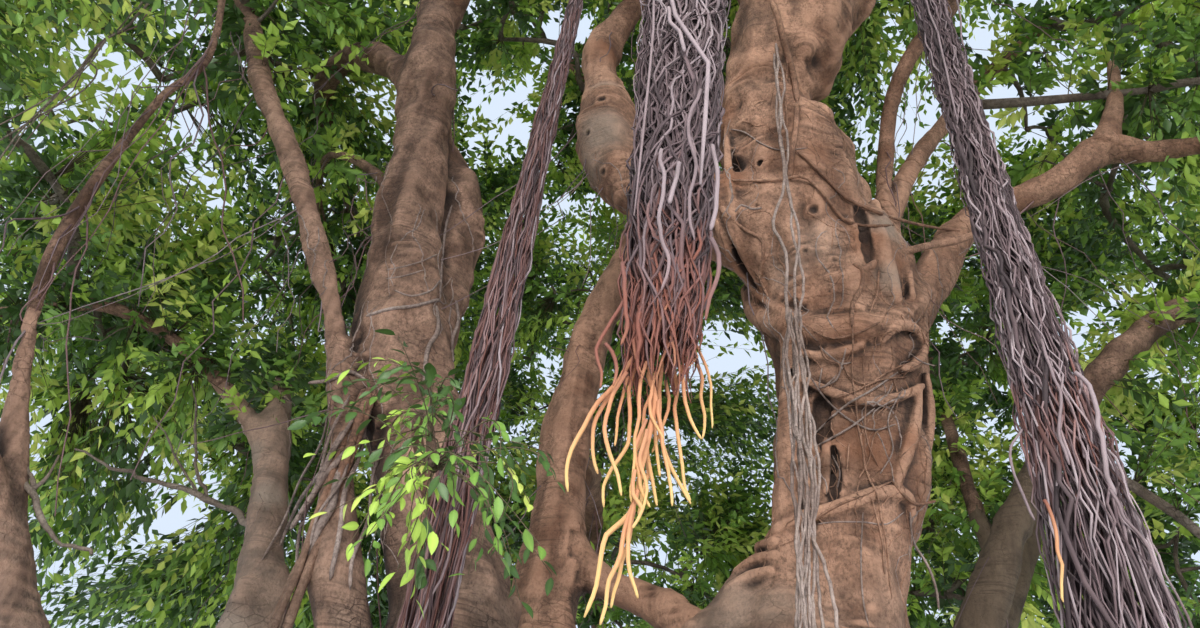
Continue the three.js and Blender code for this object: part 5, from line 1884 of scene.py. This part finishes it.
def add_crown():
    branches, twigs, view = Store(), Store(), View()
    for number, group in enumerate(GROUPS):
        leaves = Store()
        for node in group:
            rng = np.random.default_rng(1000 + sum(map(ord, node)))
            paths, radius, wood_at = grow(node, rng)
            points, (quads, ends) = tubes(paths, radius, 4)
            faces = np.concatenate([quads[:, [0, 1, 2]], quads[:, [0, 2, 3]], ends])
            branches.put(points.reshape(-1, 3), faces)
            tip, middle = strewn(node, SPRAYS, rng, 0.30)
            px, py, depth = in_photo(tip)
            thinned = rng.uniform(size=len(tip)) < THINNING * openness(px, py) * (depth > 1)
            tip = tip[~in_gap(tip) & ~thinned]
            view.cover(tip)
            more, _ = strewn(node, SPRAYS_MORE, rng, 0.55, 1.28)
            more = more[~in_gap(more) & (more > BOX_LOW).all(1) & (more < BOX_HIGH).all(1)]
            more = more[view.wanted(more)]
            view.cover(more)
            tip = np.concatenate([tip, more])
            base = nearest(tip, wood_at)
            base, tip = base[~in_gap(base)], tip[~in_gap(base)]
            if node == "leaf_low_8":
                extra = [leafy_limb(limb_path(name, 0.06), count, rng) for name, count in LEAFY]
                extra.append(leafy_limb(smooth_path(PATHS["stem_grey"][3:], 0.06), 130, rng))
                base = np.concatenate([base] + [row[0] for row in extra])
                tip = np.concatenate([tip] + [row[1] for row in extra])
            run = tip - base
            long = np.linalg.norm(run, axis=1)[:, None]
            drawn_out = base + run / np.maximum(long, 1e-6) * TWIG_LEAST
            tip = np.where(long < TWIG_LEAST, drawn_out, tip)
            points, faces = spikes(base, tip, TWIG_THICK)
            twigs.put(points, faces)
            colour = leaf_colours(tip, middle, rng)
            foot, way, face, size, wide = spray_leaves(base, tip, rng, PER_SPRAY)
            scale = leaf_scale(foot)
            size, wide = size * scale, wide * scale
            fine = np.linalg.norm(foot - EYE, axis=1) < NEAR
            shade = np.repeat(colour, PER_SPRAY)
            for near in (True, False):
                mine = fine == near
                if mine.any():
                    points, faces, rib = blades(foot[mine], way[mine], face[mine], size[mine],
                                                wide[mine], near)
                    leaves.put(points, faces, np.repeat(shade[mine], 4 if near else 2), rib)
        leaves.make(f"leaves_{number + 1}", LEAF, group, "leaf", "rib")
    branches.make("branches", [BARK_GREY], MASSES, "bark", "hollow")
    twigs.make("twigs", [TWIG], MASSES, "bark", "hollow")


add_crown()

# %% [markdown]
# ## The shoots near the camera
# A few leafy shoots hang in front of the left stem, close enough to show each leaf: pointed
# ellipses about seven centimetres long, some dark and glossy, some fresh yellow-green. Each leaf
# is a small curved surface of two parameters, along and across. Shoots end at pixels of the
# photograph, inside the small mass that stands for them, and spring from the thin bough.

# %% Near shoots
SHOOT_TIPS = table("""
    352,345 372,332 398,336 425,345 450,372 440,402 412,392 385,372 362,398 392,425 372,452 420,440
    452,447 342,480 330,512 352,540 380,520 405,545 362,575 392,590 425,575 345,605 410,612 478,470
    500,455 522,470 545,452 555,480 530,505 500,520 482,545 512,560 540,545 552,575 520,600 490,600
    468,575 455,520 438,480 318,455 310,420 330,395 395,480 440,545 470,440 375,500""")


def near_leaf(long, wide, curl):
    """One leaf as a grid of 7 rows along and 3 points across: half the width at share u of the
    length is the wide times sin(pi u) to the power 0.8, pulled towards the foot, the edges stand
    up from the midrib, and the blade curls down by curl times u squared."""
    u = np.linspace(0, 1, 7)[:, None]
    v = np.array([-1.0, 0.0, 1.0])[None]
    half = 0.5 * wide * np.sin(math.pi * u**0.85) ** 0.8 + 0.0003
    x = long * u + 0 * v
    y = half * v
    z = 0.25 * np.abs(v) * half - curl * long * u**2
    return np.stack([x, y, z], axis=2)


def add_near_shoots():
    rng = np.random.default_rng(404)
    bough = limb_path("twig_shoots", 0.05)[:, :3]
    low, high = (np.array(corner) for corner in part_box("leaf_shoots"))
    tips = []
    for k, (px, py) in enumerate(SHOOT_TIPS):
        way = sight(px, py)
        level = -2.10 + 0.26 * math.sin(2.3 * k)
        tips.append(np.clip(EYE + way * (level - EYE[1]) / way[1], low + 0.05, high - 0.05))
    tips = np.array(tips)
    base = nearest(tips + [0, 0, 0.1], bough[-12:])
    t = np.linspace(0, 1, 9)[None, :, None]
    sway = rng.normal(0, 0.05, (len(tips), 1, 3)) + [0, 0, 0.10]
    twigs = base[:, None] + (tips - base)[:, None] * t + sway * 4 * t * (1 - t)
    points, faces = tubes(twigs, np.full(twigs.shape[:2], 0.0026) * np.linspace(1, 0.5, 9), 5)
    piece("shoot_twigs", points, faces, [TWIG], ["leaf_shoots"], values={"hollow": 0.5})

    per_twig = 10
    k = np.arange(per_twig)
    share = 0.35 + 0.65 * k / (per_twig - 1)
    spot = share * 8
    first = np.minimum(spot.astype(int), 7)
    part = (spot - first)[None, :, None]
    foot = twigs[:, first] * (1 - part) + twigs[:, first + 1] * part
    axis = unit(twigs[:, first + 1] - twigs[:, first])
    side = unit(np.cross(axis, [0, 0, 1.0]), 1e-9)
    turn = 2.4 * k[None] + rng.uniform(0, TURN, (len(tips), 1))
    rise = [0, 0, 1] * (0.5 * np.sin(turn) - 0.35)[..., None]
    way = 0.8 * axis + np.cos(turn)[..., None] * side + rise
    way = unit((way + rng.normal(0, 0.2, way.shape)).reshape(-1, 3))
    foot = foot.reshape(-1, 3) + way * 0.008
    face = rng.normal(0, 0.4, way.shape) + [0, -0.35, 0.8]
    across = unit(np.cross(face, way))
    out = np.cross(way, across)
    long = rng.uniform(0.042, 0.070, len(foot))
    blade = near_leaf(1.0, 0.42, 0.18)
    points = (foot[:, None, None] + long[:, None, None, None] * (
        blade[None, :, :, [0]] * way[:, None, None] + blade[None, :, :, [1]] * across[:, None, None]
        + blade[None, :, :, [2]] * out[:, None, None]))
    number = np.arange(21).reshape(7, 3)
    quads = np.stack([number[:-1, :-1], number[1:, :-1], number[1:, 1:], number[:-1, 1:]], axis=2)
    faces = (np.arange(len(foot))[:, None, None] * 21 + quads.reshape(-1, 4)[None]).reshape(-1, 4)
    light = rng.uniform(0, 1, len(tips))
    # the dark and light finishes carry painted shade and painted sunlight
    colour = np.repeat(np.searchsorted([0.46, 0.80, 0.95], light), per_twig * 12)
    rib = np.tile(np.tile([0.0, 1.0, 0.0], 7), len(foot))
    piece("shoot_leaves", points, [faces], LEAF, ["leaf_shoots"], colour, {"rib": rib})


add_near_shoots()

# %% [markdown]
# The top of the thick stem is hidden by the curtains from below, so its block has larger steps.
# It forks into the boughs that carry the crown, and one side ends in a limb that was sawn off
# long ago and has healed over in a knob.

# %% Top of the thick stem
CROTCH_MARKS = named("""
    cinnamon 612,48,.26,1;
    stain 614,44,.16,.9 745,20,.3,.8;
    bleached 602,88,.22,.8""")


def make_crotch():
    block = grown((-1.12, -1.8, 6.6), (2.8, 0.95, 9.1), 0.026, "stem_right .12,.1" + CROTCH)
    block.emboss()
    marks = block.marks(CROTCH_MARKS)
    block.close(TOP_RIGHT, 9.0)
    wood("wood_crotch", block, [], BARK, ["stem_right", "bough_sawn"], marks=marks)


make_crotch()

# %% [markdown]
# ## Floor and light
# A plain pale floor and soft studio light, so that the tree alone is seen.

# %% Floor and light
def add_floor(half=140.0):
    """A square of floor at ground level."""
    corners = [(x * half, y * half, -0.002) for x, y in ((-1, -1), (1, -1), (1, 1), (-1, 1))]
    mesh = bpy.data.meshes.new("floor")
    mesh.from_pydata(corners, [], [(0, 1, 2, 3)])
    floor = bpy.data.objects.new("floor", mesh)
    bpy.context.scene.collection.objects.link(floor)
    finish = Finish("floor", 0.9)
    shade = finish.mix(finish.noise(0.6, 2) * 0.12, (0.66, 0.65, 0.635), (0.60, 0.59, 0.575))
    mesh.materials.append(finish.wear(shade, finish.noise(30, 2), 0.001))


def add_light(name, kind, place, aim, energy, size, colour=(1, 1, 1), spread=math.pi):
    """A lamp at a place that points at another, not itself seen by the camera."""
    lamp = bpy.data.lights.new(name, kind)
    lamp.energy, lamp.color = energy, colour
    if kind == "AREA":
        lamp.size, lamp.spread = size, spread
    else:
        lamp.angle = size
    made = bpy.data.objects.new(name, lamp)
    way = Vector(aim) - Vector(place)
    made.rotation_mode = "QUATERNION"
    made.rotation_quaternion = way.to_track_quat("-Z", "Y")
    made.location = place
    made.visible_camera = False
    bpy.context.scene.collection.objects.link(made)


def add_sky(colour, strength=1.0):
    world = bpy.data.worlds.new("studio")
    bpy.context.scene.world = world
    world.use_nodes = True
    backdrop = world.node_tree.nodes["Background"]
    backdrop.inputs["Color"].default_value = colour
    backdrop.inputs["Strength"].default_value = strength


add_floor()
add_sky((0.74, 0.85, 1.0, 1.0))
add_light("sun", "SUN", (-6, -9, 14), (0, 0, 5), 2.2, 0.35, (1.0, 0.96, 0.90))
add_light("low_fill", "AREA", (-1.5, -15.0, 5.5), (0.4, 0, 5.5), 420, 7.0, (1.0, 0.96, 0.92), 1.4)
add_light("right_fill", "AREA", (10.0, -12.0, 5.5), (0.8, 0, 6.0), 160, 6.0, (1.0, 0.97, 0.95), 1.4)
bpy.context.scene.view_settings.view_transform = "Standard"

# %% Sizes and end
print("pieces:", len(PIECES), "triangles:", sum(PIECES))
